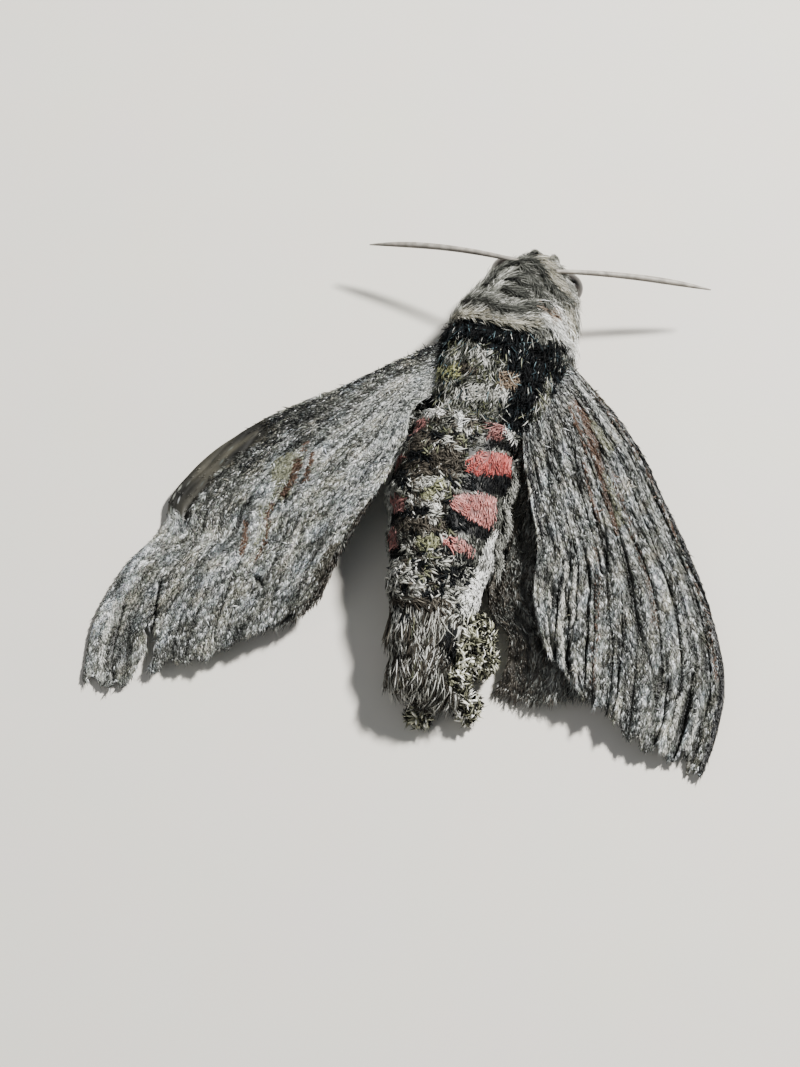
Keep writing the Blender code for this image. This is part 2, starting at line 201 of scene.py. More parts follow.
def smooth(keys, values, at):
    """Values on a smooth curve through the rows of values, which sit at the rising keys."""
    keys, values = np.asarray(keys, float), np.asarray(values, float)
    slopes = np.gradient(values, keys, axis=0)
    at = np.clip(at, keys[0], keys[-1])
    i = np.clip(np.searchsorted(keys, at) - 1, 0, len(keys) - 2)
    step = (keys[i + 1] - keys[i])[:, None]
    f = ((at - keys[i]) / (keys[i + 1] - keys[i]))[:, None]
    return (
        (2 * f**3 - 3 * f**2 + 1) * values[i] + (f**3 - 2 * f**2 + f) * step * slopes[i]
        + (3 * f**2 - 2 * f**3) * values[i + 1] + (f**3 - f**2) * step * slopes[i + 1]
    )


def body_section(y):
    """Half width, top, bottom and sway at each y."""
    return smooth(-STATIONS[:, 0], STATIONS[:, 1:], -np.asarray(y, float)).T


def body_place(y, angle):
    """Points of the skin; angle 0 is the moth's right side and a quarter turn its back."""
    depth = np.interp(-y, -COAT_DEPTH[:, 0], COAT_DEPTH[:, 1])
    front, tail = FRONT - depth, TAIL + depth
    y = np.clip(y, tail, front)
    half, top, bottom, sway = body_section(y)
    ring = np.where(y < WAIST, np.cos(2 * np.pi * (y - WAIST) / RING_LENGTH), 0.0)
    half = half * (1 + RING_SWELL * ring)
    near = np.minimum((front - y) / FRONT_ROUNDING, (y - tail) / TAIL_ROUNDING)
    end = np.sqrt(portion(1 - (1 - portion(near)) ** 2))
    x = sway + (half - depth) * end * np.cos(angle)
    z = (top + bottom) / 2 + ((top - bottom) / 2 - depth) * end * np.sin(angle)
    return np.stack([x, y, np.maximum(z, SKIN_CLEARANCE)], -1)


def unit(vectors):
    """The same directions, each one long."""
    return vectors / np.maximum(np.linalg.norm(vectors, axis=-1, keepdims=True), 1e-9)


def body_frame(y, angle):
    """Place, outward normal, direction to the tail, direction round the body, and area."""
    step = 0.04
    back = body_place(y - step, angle) - body_place(y + step, angle)
    turn = body_place(y, angle + step) - body_place(y, angle - step)
    area = np.linalg.norm(np.cross(turn, back), axis=1)
    return body_place(y, angle), unit(np.cross(turn, back)), unit(back), unit(turn), area


def ripple(place, size, seed):
    """Smooth noise from -1 to 1 whose waves are about size across. Each seed is a pattern."""
    random = np.random.default_rng(seed)
    total = np.zeros(len(place))
    for _ in range(7):
        way = random.normal(size=place.shape[1])
        way /= np.linalg.norm(way)
        wave = size * random.uniform(0.7, 1.6)
        total += np.sin(place @ way * 2 * np.pi / wave + random.uniform(0, 7))
    return np.clip(total / 3.2, -1, 1)


def ramp(codes, at):
    """Linear colours read at 0 to 1 along a row of sRGB hex colours."""
    table = np.array([linear(code) for code in codes]) ** (1 / 2.2)
    at = portion(at) * (len(codes) - 1)
    low = np.minimum(at.astype(int), len(codes) - 2)
    part = (at - low)[:, None]
    return (table[low] * (1 - part) + table[low + 1] * part) ** 2.2


def stroke_distance(x, y, line):
    """How far each place is from a line of points."""
    nearest = np.full(len(x), np.inf)
    for (x0, y0), (x1, y1) in zip(line, line[1:]):
        run, rise = x1 - x0, y1 - y0
        along = portion(((x - x0) * run + (y - y0) * rise) / (run**2 + rise**2))
        nearest = np.minimum(nearest, np.hypot(x - x0 - along * run, y - y0 - along * rise))
    return nearest


def within(distance, width):
    """1 well inside a mark and 0 outside it, with a short ragged border."""
    return portion((1 - distance / width) * 3 + 0.5)


def paint(colour, where, codes, at, random):
    """Recolours places, each by the chance given by where, with a row of colours read at a level."""
    picked = random.random(len(colour)) < where
    colour[picked] = ramp(codes, at[picked])


# Colours of the fur, each from shadowed roots to bleached tips.
FUR_GREY = ("#131412", "#343531", "#6b6c65", "#a7a7a0", "#e6e5df")
FUR_OLIVE = ("#151712", "#36392d", "#64664f", "#a9aa90")
FUR_BLACK = ("#020203", "#040608", "#080b0e", "#222a2f")
FUR_PALE = ("#77776f", "#b8b8b0", "#dddcd6", "#f4f3ef")
# Steel-blue hair that stands for glints on the thorax: painted highlights.
FUR_STEEL_GLINT = ("#141b1e", "#34444a", "#6f8388", "#b9c6c8")
FUR_SMOKE = ("#0f100f", "#2b2c29", "#4b4c47", "#7a7b75")
FUR_WHITE = ("#b0b0aa", "#e2e2dc", "#f8f8f4", "#ffffff")
FUR_BUFF = ("#6b5c50", "#a08b7a", "#c9b6a4")
FUR_DUN = ("#45423a", "#85816f", "#b5b1a4", "#dbd8ce")
FUR_BROWN = ("#1d1a16", "#34302a", "#4d4840", "#7a7469")
SPOT_YELLOW = ("#62644a", "#8f9070", "#b4b494")
SPOT_BRIGHT = ("#8f8f5e", "#bdbd88", "#dcdcb8")
SPOT_BROWN = ("#5e4d3f", "#8f7e6c", "#ad9a86")
# Marks on the head and the thorax's back: the line that each follows, half its width, and its fur.
THORAX_MARKS = (
    (((-6.6, -3.0), (-6.4, 0.0), (-4.3, 1.1), (-2.4, 0.9), (0.4, 0.4)), 1.25, FUR_BLACK),
    (((-0.4, 0.4), (1.5, 0.2), (2.7, -1.0), (2.9, -3.0)), 1.85, FUR_BLACK),
    (((2.9, -2.8), (3.2, -4.6), (2.8, -7.0)), 1.2, FUR_BLACK),
    (((4.4, 0.6), (6.3, -0.8), (6.4, -2.4)), 1.0, FUR_BLACK),
    (((3.1, 5.3), (4.7, 4.2), (6.3, 3.6)), 1.15, FUR_WHITE),
    (((2.3, 5.3), (3.6, 5.0)), 0.65, FUR_BUFF),
    (((4.7, 1.8), (5.8, 2.1)), 0.55, FUR_BLACK),
    (((-2.4, -1.5), (-1.2, -2.0)), 0.6, FUR_PALE),
    (((-5.6, -3.9), (-5.2, -3.8)), 0.75, SPOT_YELLOW),
    (((-4.0, -3.6), (-3.6, -3.5)), 0.65, SPOT_BRIGHT),
    (((-3.4, -3.3), (-2.2, -3.5)), 0.5, FUR_BROWN),
    (((1.3, -3.4), (1.5, -3.5)), 0.85, SPOT_BROWN),
    (((-2.6, -5.9), (-0.8, -5.3), (1.2, -4.9)), 0.65, FUR_PALE),
    (((-6.0, -6.2), (-5.4, -7.0)), 0.6, FUR_BLACK),
    (((-2.2, 6.4), (-1.6, 6.1), (-0.9, 6.0)), 0.55, FUR_SMOKE),
    (((4.2, 7.9), (4.4, 7.8)), 0.35, FUR_BLACK),
    (((1.9, 9.1), (2.0, 9.0)), 0.35, FUR_BLACK),
    (((-1.0, 12.2), (0.2, 12.8)), 0.8, FUR_BLACK),
)
ROSE = ("#7b3431", "#b4534e", "#cb7771", "#e3a7a1")
ROSE_PALE = ("#8f5651", "#c67f79", "#dfa29c", "#efc9c4")
# A dark copy of the rose fur: painted shade for a left patch that lies in shadow.
ROSE_IN_SHADE = ("#3a2321", "#6d4542", "#9a6b66")
ROSE_DULL = ("#5f403d", "#9a6c68", "#c79a95")
# Rose patches of the right side, from the front: places across the body; there, how far along it
# are the patch's front and rear edges and the rear edge of the black band; how far it goes down
# the flank in degrees from the back; and its fur.
ROSE_RIGHT = (
    ((0.9, 1.8, 2.9), (-7.9, -7.5, -8.2), (-9.4, -9.2, -8.9), (-10.8, -10.5, -10.0), 43.5, ROSE_DULL),
    ((0.1, 1.2, 2.5, 4.4), (-11.9, -10.8, -10.1, -9.2), (-13.4, -13.4, -12.7, -11.3),
     (-15.4, -15.2, -14.7, -13.5), 84, ROSE),
    ((-0.4, 0.6, 1.8, 3.5, 4.6), (-16.2, -15.6, -15.1, -14.5, -14.8),
     (-17.1, -17.5, -17.9, -17.7, -17.2), (-19.3, -19.5, -19.4, -19.1, -18.7), 64, ROSE_PALE),
    ((0.0, 0.6, 2.0, 3.4), (-20.6, -20.1, -19.9, -20.2), (-21.0, -21.1, -21.2, -21.6),
     (-21.8, -22.0, -22.2, -22.5), 42, ROSE_PALE),
)
# Patches that reach down the flank at least this far are solid; the last one is worn thin.
SOLID_REACH = 43
# Those of the left side: place along the body, half length, the angles they span, and their fur; the second
# patch's fur is painted shade.
ROSE_LEFT = (
    (-9.1, 0.9, 46, 70, ROSE_DULL), (-13.0, 0.8, 52, 74, ROSE_IN_SHADE), (-17.3, 0.75, 44, 68, ROSE_DULL),
    (-20.5, 0.9, 54, 74, ROSE_DULL),
)
BLACK_BAND = 1.2
# Where the abdomen's dark low band begins, and where its straw-like tip does.
LOW_BAND, TIP_START = -21.5, -26.6
# Marks on the abdomen's back, as for the thorax.
ABDOMEN_MARKS = (
    (((5.2, -18.3), (5.1, -20.1), (4.7, -22.9), (4.2, -25.2)), 1.2, FUR_WHITE),
    (((-5.2, -7.9), (-4.2, -7.8)), 0.55, FUR_WHITE),
    (((-2.4, -7.7), (-1.6, -8.9)), 0.4, FUR_WHITE),
    (((2.5, -7.7), (3.2, -8.4)), 0.4, FUR_WHITE),
    (((2.4, -9.3), (3.2, -8.9), (4.0, -9.0)), 0.45, FUR_BLACK),
    (((-5.8, -10.6), (-4.5, -10.8), (-3.2, -10.8)), 0.45, FUR_BLACK),
    (((-5.2, -10.6), (-5.5, -12.7)), 0.8, FUR_BROWN),
    (((-5.3, -14.0), (-3.4, -13.6), (-1.5, -13.0)), 1.4, FUR_BROWN),
    (((-4.6, -19.7), (-2.6, -19.5), (-0.8, -19.3)), 0.7, FUR_BROWN),
    (((-5.5, -12.9), (-4.0, -13.2)), 0.5, FUR_BLACK),
    (((-6.1, -14.5), (-5.5, -15.8)), 0.6, FUR_BLACK),
    (((-2.7, -17.7), (-1.3, -17.9), (-1.5, -18.9)), 0.45, FUR_PALE),
    (((-3.6, -15.6), (-1.8, -15.3)), 0.55, FUR_PALE),
    (((-2.8, -16.8), (-1.8, -15.6)), 0.5, SPOT_YELLOW),
    (((-1.9, -21.3), (-0.8, -20.9)), 0.6, SPOT_YELLOW),
    (((-3.7, -18.6), (-2.4, -18.2)), 0.5, FUR_BLACK),
    (((0.6, -23.6), (2.4, -23.0)), 0.6, FUR_BLACK),
    # Painted shade: a black stroke in the dark gap between the abdomen's tip and the tail clump.
    (((3.2, -28.8), (3.8, -30.3), (4.4, -31.0)), 0.6, FUR_BLACK),
    (((-3.6, -27.6), (-3.1, -30.0), (-2.3, -32.8)), 0.5, FUR_BROWN),
    (((-3.6, -26.9), (-0.7, -26.9), (2.0, -26.0)), 0.4, FUR_BROWN),
)


def head_painted_light(x, y):
    """Painted light: how much lighter the fur of the head and collar is painted from its left side to its
    lit right side.
    """
    return 0.1 * (y > 6) * np.clip(x / 2, -0.5, 1)


def body_tint(place, random):
    """The colour of each scale or hair by where it shows on the body."""
    x, y, z = place.T
    count = len(place)
    half, top, bottom, sway = body_section(y)
    side = x - sway
    from_top = np.degrees(np.arctan2(side / half, (z - (top + bottom) / 2) / ((top - bottom) / 2)))
    thorax = y > WAIST
    abdomen = ~thorax
    # Single hairs stray in tone, and so do large blotches and small specks of the coat.
    tone = (0.5 + 0.13 * random.normal(size=count) + 0.16 * ripple(place, 3.0, 11)
            + 0.22 * ripple(place, 0.9, 12))
    tone = tone + 0.05 * thorax * (y < -1) + 0.04 * (y > 3) + 0.06 * (y > 7)
    tone = tone + head_painted_light(x, y)
    colour = ramp(FUR_GREY, tone)

    def lay(where, codes, strength=1.0, shift=0.0, level=tone):
        """Turns the hairs picked by where, which is 0 to 1, into the given colours."""
        paint(colour, where * strength, codes, level + shift, random)

    # The thorax: olive and pale hairs among the grey, the marks, then steel-blue hairs as painted glints
    # and loose white hairs.
    lay(thorax * (y < 0.4), FUR_OLIVE, 0.35)
    lay(thorax * (y < 5.0) * (ripple(place, 1.5, 5) > 0.62), FUR_PALE, 0.4, -0.2)
    for line, width, codes in THORAX_MARKS:
        lay(within(stroke_distance(x, y, line), width) * (np.abs(from_top) < 95) * thorax, codes, 0.97)
    lay(thorax * (y < 1.6), FUR_STEEL_GLINT, 0.07, -0.12)
    lay(thorax * (y < 1.6), FUR_PALE, 0.025, -0.15)

    # The abdomen: grey flanks, a mottled brown stripe along the back, and a dark band low down.
    flank = portion((np.abs(from_top + 8) - 30) / 8) * abdomen * portion((y + 25) / 3)
    # Painted light: the left flank, which the lamp leaves in shade, is painted a little lighter, and the
    # right a little darker.
    lay(flank, FUR_GREY, 0.9, np.where(side < 0, 0.02, -0.05))
    stripe = portion((34 - np.abs(from_top + 14)) / 10) * abdomen
    lay(stripe, FUR_BROWN, 0.6, -0.03)
    lay(stripe * (ripple(place, 1.5, 21) > 0.2), FUR_OLIVE, 0.6, 0.05)
    lay(stripe * (ripple(place, 1.1, 22) > 0.35), FUR_BLACK, 0.8)
    lay(stripe * (ripple(place, 1.2, 23) > 0.45), FUR_PALE, 0.75, -0.15)
    low = portion((LOW_BAND - y) * 2) * (y > TIP_START)
    lay(low * (ripple(place, 0.9, 24) > 0.2), FUR_BLACK, 0.7)
    lay(low * (ripple(place, 0.8, 25) > 0.25), FUR_PALE, 0.8, -0.12)

    # The rose patches, each with its black band behind it and those of the right with a pale rim.
    plush = 0.5 + 0.1 * random.normal(size=count) + 0.12 * ripple(place, 1.4, 26)
    for across, fronts, rears, bands, far, codes in ROSE_RIGHT:
        front, rear, band = (np.interp(x, across, line) for line in (fronts, rears, bands))
        wide = portion((x - across[0]) / 0.4 + 0.5) * portion((far - from_top) / 6) * abdomen
        solid = 0.99 if far > SOLID_REACH else 0.6
        before_band = portion((y - band) / 0.3 + 0.5)
        lay((y < rear + 0.2) * before_band * wide, FUR_BLACK, solid, -0.1)
        lay(within(np.abs(y - front - 0.12), 0.15) * wide, FUR_PALE, 0.3, -0.15)
        inside = portion(np.minimum(front - y, y - rear) / 0.2 + 0.5)
        lighter_ahead = 0.22 * np.clip((y - rear) / (front - rear) - 0.5, -1, 1)
        lay(inside * wide, codes, (0.5 + solid) / 1.5, lighter_ahead, plush)
    slant = y - 0.1 * side
    for at, long, near, far, codes in ROSE_LEFT:
        off_middle, reach = np.abs(-from_top - (near + far) / 2), (far - near) / 2
        behind = np.abs(slant - (at - long - BLACK_BAND / 2 + 0.15))
        wide = within(off_middle, reach + 5) * abdomen
        lay(within(behind, BLACK_BAND / 2) * wide, FUR_BLACK, 0.98, -0.1)
        patch = within(np.abs(slant - at), long) * within(off_middle, reach)
        lay(patch * abdomen, codes, 0.9, 0.0, plush)

    # The straw-like tip, the marks of the back, and the pale underside.
    tail = y < TIP_START
    strand = ripple(place * (2.6, 0.5, 1.5), 1.1, 32)
    lay(tail * (strand < 0.1), FUR_BROWN, 0.8, -0.15)
    lay(tail * within(np.abs(from_top + 55), 30) * (y > -29.5), FUR_BLACK, 0.7)
    lay(tail * (strand > 0.2), FUR_PALE, 0.85, -0.05)
    for line, width, codes in ABDOMEN_MARKS:
        marked = within(stroke_distance(x, y, line), width) * (np.abs(from_top) < 90) * abdomen
        lay(marked, codes, 0.9, 0.1 * (codes is FUR_WHITE))
    underside = portion((2.6 - z) / 1.5) * (y > -34)
    lay(underside, FUR_PALE, 0.75, -0.3)
    return colour


def tinted_material(name, flecks, detail, darkest, lightest, roughness, gloss=0.5, dents=0.0, depth=0.0):
    """Chitin coloured by each point's tint: so many flecks to the millimetre, and dents if any."""
    made, tree = new_material(name)
    tint = add_node(tree, "ShaderNodeAttribute", {"attribute_name": "tint"})
    place = add_node(tree, "ShaderNodeTexCoord")
    fleck = add_node(
        tree, "ShaderNodeTexNoise", {"Scale": flecks / MM, "Detail": detail},
        {"Vector": place.outputs["Object"]})
    spread = add_node(
        tree, "ShaderNodeMapRange", {"To Min": darkest, "To Max": lightest},
        {"Value": fleck.outputs["Fac"]})
    varied = add_node(
        tree, "ShaderNodeMix", {"data_type": "RGBA", "blend_type": "MULTIPLY", 0: 1.0},
        {6: tint.outputs["Color"], 7: spread.outputs[0]})
    links = {"Base Color": varied.outputs[2]}
    if depth:
        pits = add_node(
            tree, "ShaderNodeBump", {"Strength": dents, "Distance": depth * MM},
            {"Height": fleck.outputs["Fac"]})
        links["Normal"] = pits.outputs["Normal"]
    put_shader(tree, add_node(
        tree, "ShaderNodeBsdfPrincipled", {"Roughness": roughness, "Specular IOR Level": gloss}, links))
    return made


def tint_points(mesh, colours):
    """Gives each point of a mesh its own linear colour."""
    tints = np.column_stack([colours, np.ones(len(colours))])
    mesh.attributes.new("tint", "FLOAT_COLOR", "POINT").data.foreach_set("color", tints.ravel())


# Cuticle is the horn of an insect's skin: hard, faintly glossy, brown to black, finely pitted.
cuticle = tinted_material("insect_cuticle", 1.2, 4.0, 0.0, 1.0, roughness=0.6, dents=0.4, depth=0.1)

# Rings and sides of the skin's mesh, and how much darker it is painted than the coat, as shade under the
# hair.
SKIN_RINGS, SKIN_SIDES, SKIN_SHADE = 190, 96, 0.5
shape = bmesh.new()
bmesh.ops.create_uvsphere(shape, u_segments=SKIN_SIDES, v_segments=SKIN_RINGS, radius=1.0)
ball = np.array([vertex.co for vertex in shape.verts])
skin_y = FRONT + (TAIL - FRONT) * np.arccos(np.clip(ball[:, 2], -1, 1)) / np.pi
skin_angle = np.arctan2(ball[:, 1], ball[:, 0])
skin_points = body_place(skin_y, skin_angle)
for vertex, point in zip(shape.verts, skin_points):
    vertex.co = point * MM
bmesh.ops.recalc_face_normals(shape, faces=shape.faces)
mesh = shape_mesh(shape, "body_skin")
tint_points(mesh, body_tint(skin_points, np.random.default_rng(3)) * SKIN_SHADE)
skin = add_object(mesh, "body_skin", cuticle)
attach(skin, "root")
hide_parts("head", "thorax", "abdomen", "abdomen_tip")

# ==== Coat of the trunk ===========================================================================
# Hair-scales of chitin, each rooted in the skin: long and fluffy on the head and thorax, short
# and flat on the abdomen, straw-like at its tip. Each is a closed spindle of its own, and all
# lie the way that they were combed: to the tail, in locks round the head, across the collar.

# Half the width of a hair's own patch of the unwrap, and how clear of the table everything stays.
PATCH, TABLE_GAP = 0.0015, 0.02
# Painted shade along each hair: how much darker it is painted along its sides, and how much lighter than
# its tint at its tip, above a root painted dark as shade.
SIDE_SHADE, TIP_SHADE = 0.92, 1.08


def coat(name, finish, place, normal, lie, length, width, lift, colour, patch, rings=2,
         droop=0.5, curl=0.25, ridge=0.4, root_shade=0.45, seed=1):
    """Hairs or scales as one mesh: each is a closed spindle that bends from its root to its tip.

    Droop bends the tip back down, curl strays it sideways, ridge is how high the spindle is as a
    share of its width, and root_shade how dark its root is painted, as shade among the hairs.
    """
    random = np.random.default_rng(seed)
    count = len(place)
    side = unit(np.cross(lie, normal))
    sweep = random.normal(scale=curl, size=count)[:, None]
    length, width, lift = (np.asarray(v, float)[:, None] for v in (length, width, lift))
    if rings == 1:
        stations, widths = (0.0, 0.35, 1.0), (0.0, 1.0, 0.0)
        faces = [(0, 3, 1), (0, 2, 3), (0, 1, 2), (1, 3, 4), (3, 2, 4), (2, 1, 4)]
    else:
        stations, widths = (0.0, 0.25, 0.65, 1.0), (0.0, 1.0, 0.75, 0.0)
        faces = [
            (0, 3, 1), (0, 2, 3), (0, 1, 2), (1, 3, 6, 4), (3, 2, 5, 6), (2, 1, 4, 5),
            (4, 6, 7), (6, 5, 7), (5, 4, 7),
        ]
    # Each corner's place, its painted shade, and where it lies on the hair's patch of the unwrap.
    points, shades, spots = [], [], []
    for at, wide in zip(stations, widths):
        rise = np.sin(lift) * (at - droop * at * at)
        middle = place + length * (lie * np.cos(lift) * at + normal * rise + side * sweep * at * at)
        middle = middle - normal * 0.06 * (at == 0)
        shade = root_shade + (TIP_SHADE - root_shade) * min(at / 0.6, 1.0)
        if wide:
            half = side * width * wide / 2
            points += [middle - half, middle + half, middle + normal * width * wide * ridge]
            shades += [shade * SIDE_SHADE, shade * SIDE_SHADE, shade]
            spots += [(-1, at), (1, at), (0, at)]
        else:
            points.append(middle)
            shades.append(shade)
            spots.append((0, at))
    corners = len(points)
    cloud = np.stack(points, 1)
    cloud[:, :, 2] = np.maximum(cloud[:, :, 2], TABLE_GAP)
    order = np.concatenate([np.array(face) for face in faces])
    starts = np.concatenate([[0], np.cumsum([len(face) for face in faces])[:-1]])
    each = np.arange(count)[:, None]
    mesh = bpy.data.meshes.new(name)
    mesh.vertices.add(count * corners)
    mesh.vertices.foreach_set("co", (cloud * MM).ravel())
    mesh.loops.add(count * len(order))
    mesh.loops.foreach_set("vertex_index", (each * corners + order).ravel())
    mesh.polygons.add(count * len(faces))
    mesh.polygons.foreach_set("loop_start", (each * len(order) + starts).ravel())
    mesh.update(calc_edges=True)
    tint_points(mesh, (colour[:, None, :] * np.array(shades)[:, None]).reshape(-1, 3))
    spread = np.array(spots) * (1, 2) * PATCH - (0, PATCH)
    flat = (patch[:, None, :] + spread[None])[:, order].reshape(-1, 2)
    mesh.uv_layers.new(name="OFBake").data.foreach_set("uv", flat.ravel())
    mesh.validate()
    made = add_object(mesh, name, finish)
    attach(made, "root")
    return made


# Hair-scales are chitin too fine to tell apart: rough, with a faint gloss along each.
hair_scales = tinted_material("hair_scales", 4, 2.0, 0.8, 1.2, roughness=0.6, gloss=0.14)


# How many places are tried for each root, so that enough are left once they are spread evenly.
TRIES = 4


def rooted_on_body(count, front, back, random, keep):
    """Roots spread evenly over the skin between two places along the body, where keep allows."""
    y = random.uniform(back, front, count * TRIES)
    angle = random.uniform(-np.pi, np.pi, count * TRIES)
    place, normal, tailward, turn, area = body_frame(y, angle)
    even = random.random(len(y)) < area / np.quantile(area, 0.97)
    chosen = np.flatnonzero(even & keep(place, angle))[:count]
    return [item[chosen] for item in (y, angle, place, normal, tailward, turn)]


def unwrap(across, up):
    """Places on an unwrap, from shares of its width and height, kept off its borders."""
    return 0.02 + 0.96 * np.stack([across, up], 1)


def turn_share(x, y):
    """The share of a full turn at which a direction points."""
    return np.arctan2(y, x) / (2 * np.pi) + 0.5


def body_patch(y, angle):
    """A root's place on the unwrap of the skin: round the body across, along it upwards."""
    return unwrap((angle + np.pi / 2) % (2 * np.pi) / (2 * np.pi), (y - TAIL) / (FRONT - TAIL))


def turned(ahead, aside, by):
    """The lie of hairs or scales: one direction, swung by an angle towards another."""
    return unit(ahead * np.cos(by)[:, None] + aside * np.sin(by)[:, None])


EYE_RADIUS = 1.6
EYES = {"left": (-2.6, 10.4, 5.0), "right": (3.8, 10.4, 5.0)}
# The middle of the whorl on the collar.
SWIRL = (-1.9, 6.3)


def clear_of_eyes(place, angle):
    """Whether a root stands off both eyes, apart from the hair that hugs their rims."""
    near = [np.linalg.norm(place - np.array(eye), axis=1) for eye in EYES.values()]
    return np.minimum(*near) > EYE_RADIUS - 0.12


# Locks of the head and collar: the line each follows, how far it combs the hair beside it, its fur.
LOCKS = (
    (((-4.7, 6.6), (-4.3, 8.3), (-3.3, 9.9), (-2.2, 10.6), (-1.1, 10.4), (0.2, 9.5), (1.2, 8.5),
      (2.1, 7.3), (2.8, 6.1)), 0.42, FUR_GREY),
    (((-4.1, 6.4), (-3.7, 8.0), (-2.8, 9.5), (-1.8, 10.0), (-0.5, 9.2), (0.6, 8.1), (1.6, 7.0),
      (2.6, 5.8)), 0.16, FUR_SMOKE),
    (((-3.4, 5.2), (-3.2, 7.0), (-2.6, 8.3), (-1.6, 8.9), (-0.5, 8.5), (0.4, 7.4), (0.9, 6.0),
      (0.5, 4.8)), 0.5, FUR_GREY),
    (((-2.9, 5.2), (-2.9, 6.6), (-2.0, 7.5), (-0.8, 7.4), (-0.1, 6.4), (-0.3, 5.2)), 0.35, FUR_GREY),
    (((-2.3, 6.3), (-1.6, 6.1), (-0.8, 6.0)), 0.4, FUR_SMOKE),
    (((-2.4, 7.5), (-1.4, 8.0), (-0.4, 7.4), (0.1, 6.4)), 0.1, FUR_SMOKE),
    (((-1.3, 10.9), (0.4, 10.1), (1.8, 8.9), (3.1, 8.1), (4.4, 7.9)), 0.12, FUR_SMOKE),
    (((-1.0, 11.6), (0.9, 11.0), (2.2, 9.7), (3.4, 8.8)), 0.55, FUR_DUN),
    (((-6.4, 4.5), (-5.6, 4.9), (-3.9, 4.8), (-1.9, 4.2), (-0.3, 4.4), (1.0, 5.4)), 0.6, FUR_GREY),
    (((-6.0, 4.0), (-3.9, 4.1), (-1.9, 3.5), (-0.2, 3.8), (1.2, 4.8)), 0.14, FUR_SMOKE),
    (((-6.4, 3.2), (-5.4, 3.4), (-3.6, 3.5), (-1.5, 3.0), (0.3, 3.3), (1.8, 4.4)), 0.6, FUR_GREY),
    (((-6.5, 2.6), (-4.0, 2.4), (-1.5, 2.3), (0.4, 2.4), (1.7, 3.0)), 0.35, FUR_DUN),
    (((2.0, 4.9), (3.5, 4.3), (4.6, 3.8), (6.2, 3.3)), 0.55, FUR_WHITE),
    (((3.2, 9.6), (4.6, 8.2), (5.4, 6.4), (6.0, 4.6)), 0.5, FUR_DUN),
)


def line_way(x, y, line):
    """The direction of the nearest part of a line, and how far off it is."""
    nearest, way = np.full(len(x), np.inf), np.zeros((len(x), 3))
    for start, end in zip(line, line[1:]):
        away = stroke_distance(x, y, (start, end))
        closer = away < nearest
        nearest = np.where(closer, away, nearest)
        way[closer] = (end[0] - start[0], end[1] - start[1], 0)
    return unit(way), nearest


def laid_flat(way, normal):
    """A direction turned to lie along the skin."""
    return unit(way - normal * np.sum(way * normal, 1)[:, None])


def fur_lie(place, normal, tailward, turn, jitter, random):
    """The way the hair lies: to the tail, across the collar, round the whorl, and ruffled."""
    x, y, z = place.T
    from_top = np.degrees(np.arctan2(x, z - 4))
    # The coat is smoothest beside the rose patches, and lies matted crossways along the stripe.
    jitter = jitter * np.where((y < -9) & (y > -22) & (from_top > 12), 0.4, 1.0)
    collar = np.exp(-(((y - 5.6) / 2.3) ** 2)) * (z > 5)
    swing = collar * np.where(x < 2.2, 1.15, -0.5)
    swing = swing + jitter * (random.normal(size=len(x)) + ripple(place, 2.2, 150))
    matted = (y < -7) & (y > -26.5) & (np.abs(from_top + 12) < 30) & (ripple(place, 1.3, 151) > 0)
    swing = swing + matted * np.where(ripple(place, 2.6, 152) > 0, 1.2, -1.2)
    lie = turned(tailward, turn, swing)
    dx, dy = x - SWIRL[0], y - SWIRL[1]
    about = (np.exp(-((dx**2 + dy**2) / 4.0)) * (z > 5))[:, None]
    whirl = laid_flat(unit(np.stack([-dy, dx, 0 * dx], 1) + 0.3 * lie), normal)
    lie = unit(lie * (1 - about) + whirl * about)
    for line, width, _ in LOCKS:
        way, away = line_way(x, y, line)
        combed = (0.85 * within(away, width + 0.3) * (z > 4))[:, None]
        lie = unit(lie * (1 - combed) + laid_flat(way, normal) * combed)
    return lie


def body_coat(name, count, front, back, length, width, lift, jitter, seed, slot, nodes,
              keep=clear_of_eyes, **extra):
    """The coat between two places along the body, in bunches of longer and shorter hairs.

    Hairs rise from the skin by the lift in degrees, and are ruffled by the jitter in radians.
    """
    random = np.random.default_rng(seed)
    y, angle, place, normal, tailward, turn = rooted_on_body(count, front, back, random, keep)
    lie = fur_lie(place, normal, tailward, turn, jitter, random)
    bunch = 1 + 0.25 * ripple(place, 0.8, seed + 60)
    long = length * bunch * (1 + 0.25 * random.normal(size=len(y))).clip(0.4, 1.8)
    wide = width * random.uniform(0.7, 1.35, len(y))
    up = np.radians(lift) * random.uniform(0.5, 1.5, len(y)) * (1 + 0.4 * ripple(place, 0.9, seed + 61))
    shown_at = place + lie * 0.55 * long[:, None]
    colour = body_tint(shown_at, random)
    made = coat(name, hair_scales, place, normal, lie, long, wide, up, colour,
                body_patch(y, angle), seed=seed, **extra)
    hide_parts(*nodes)
    return made


def lengths_along(points):
    """How far along a line each of its points lies."""
    return np.concatenate([[0], np.cumsum(np.linalg.norm(np.diff(points, axis=0), axis=1))])


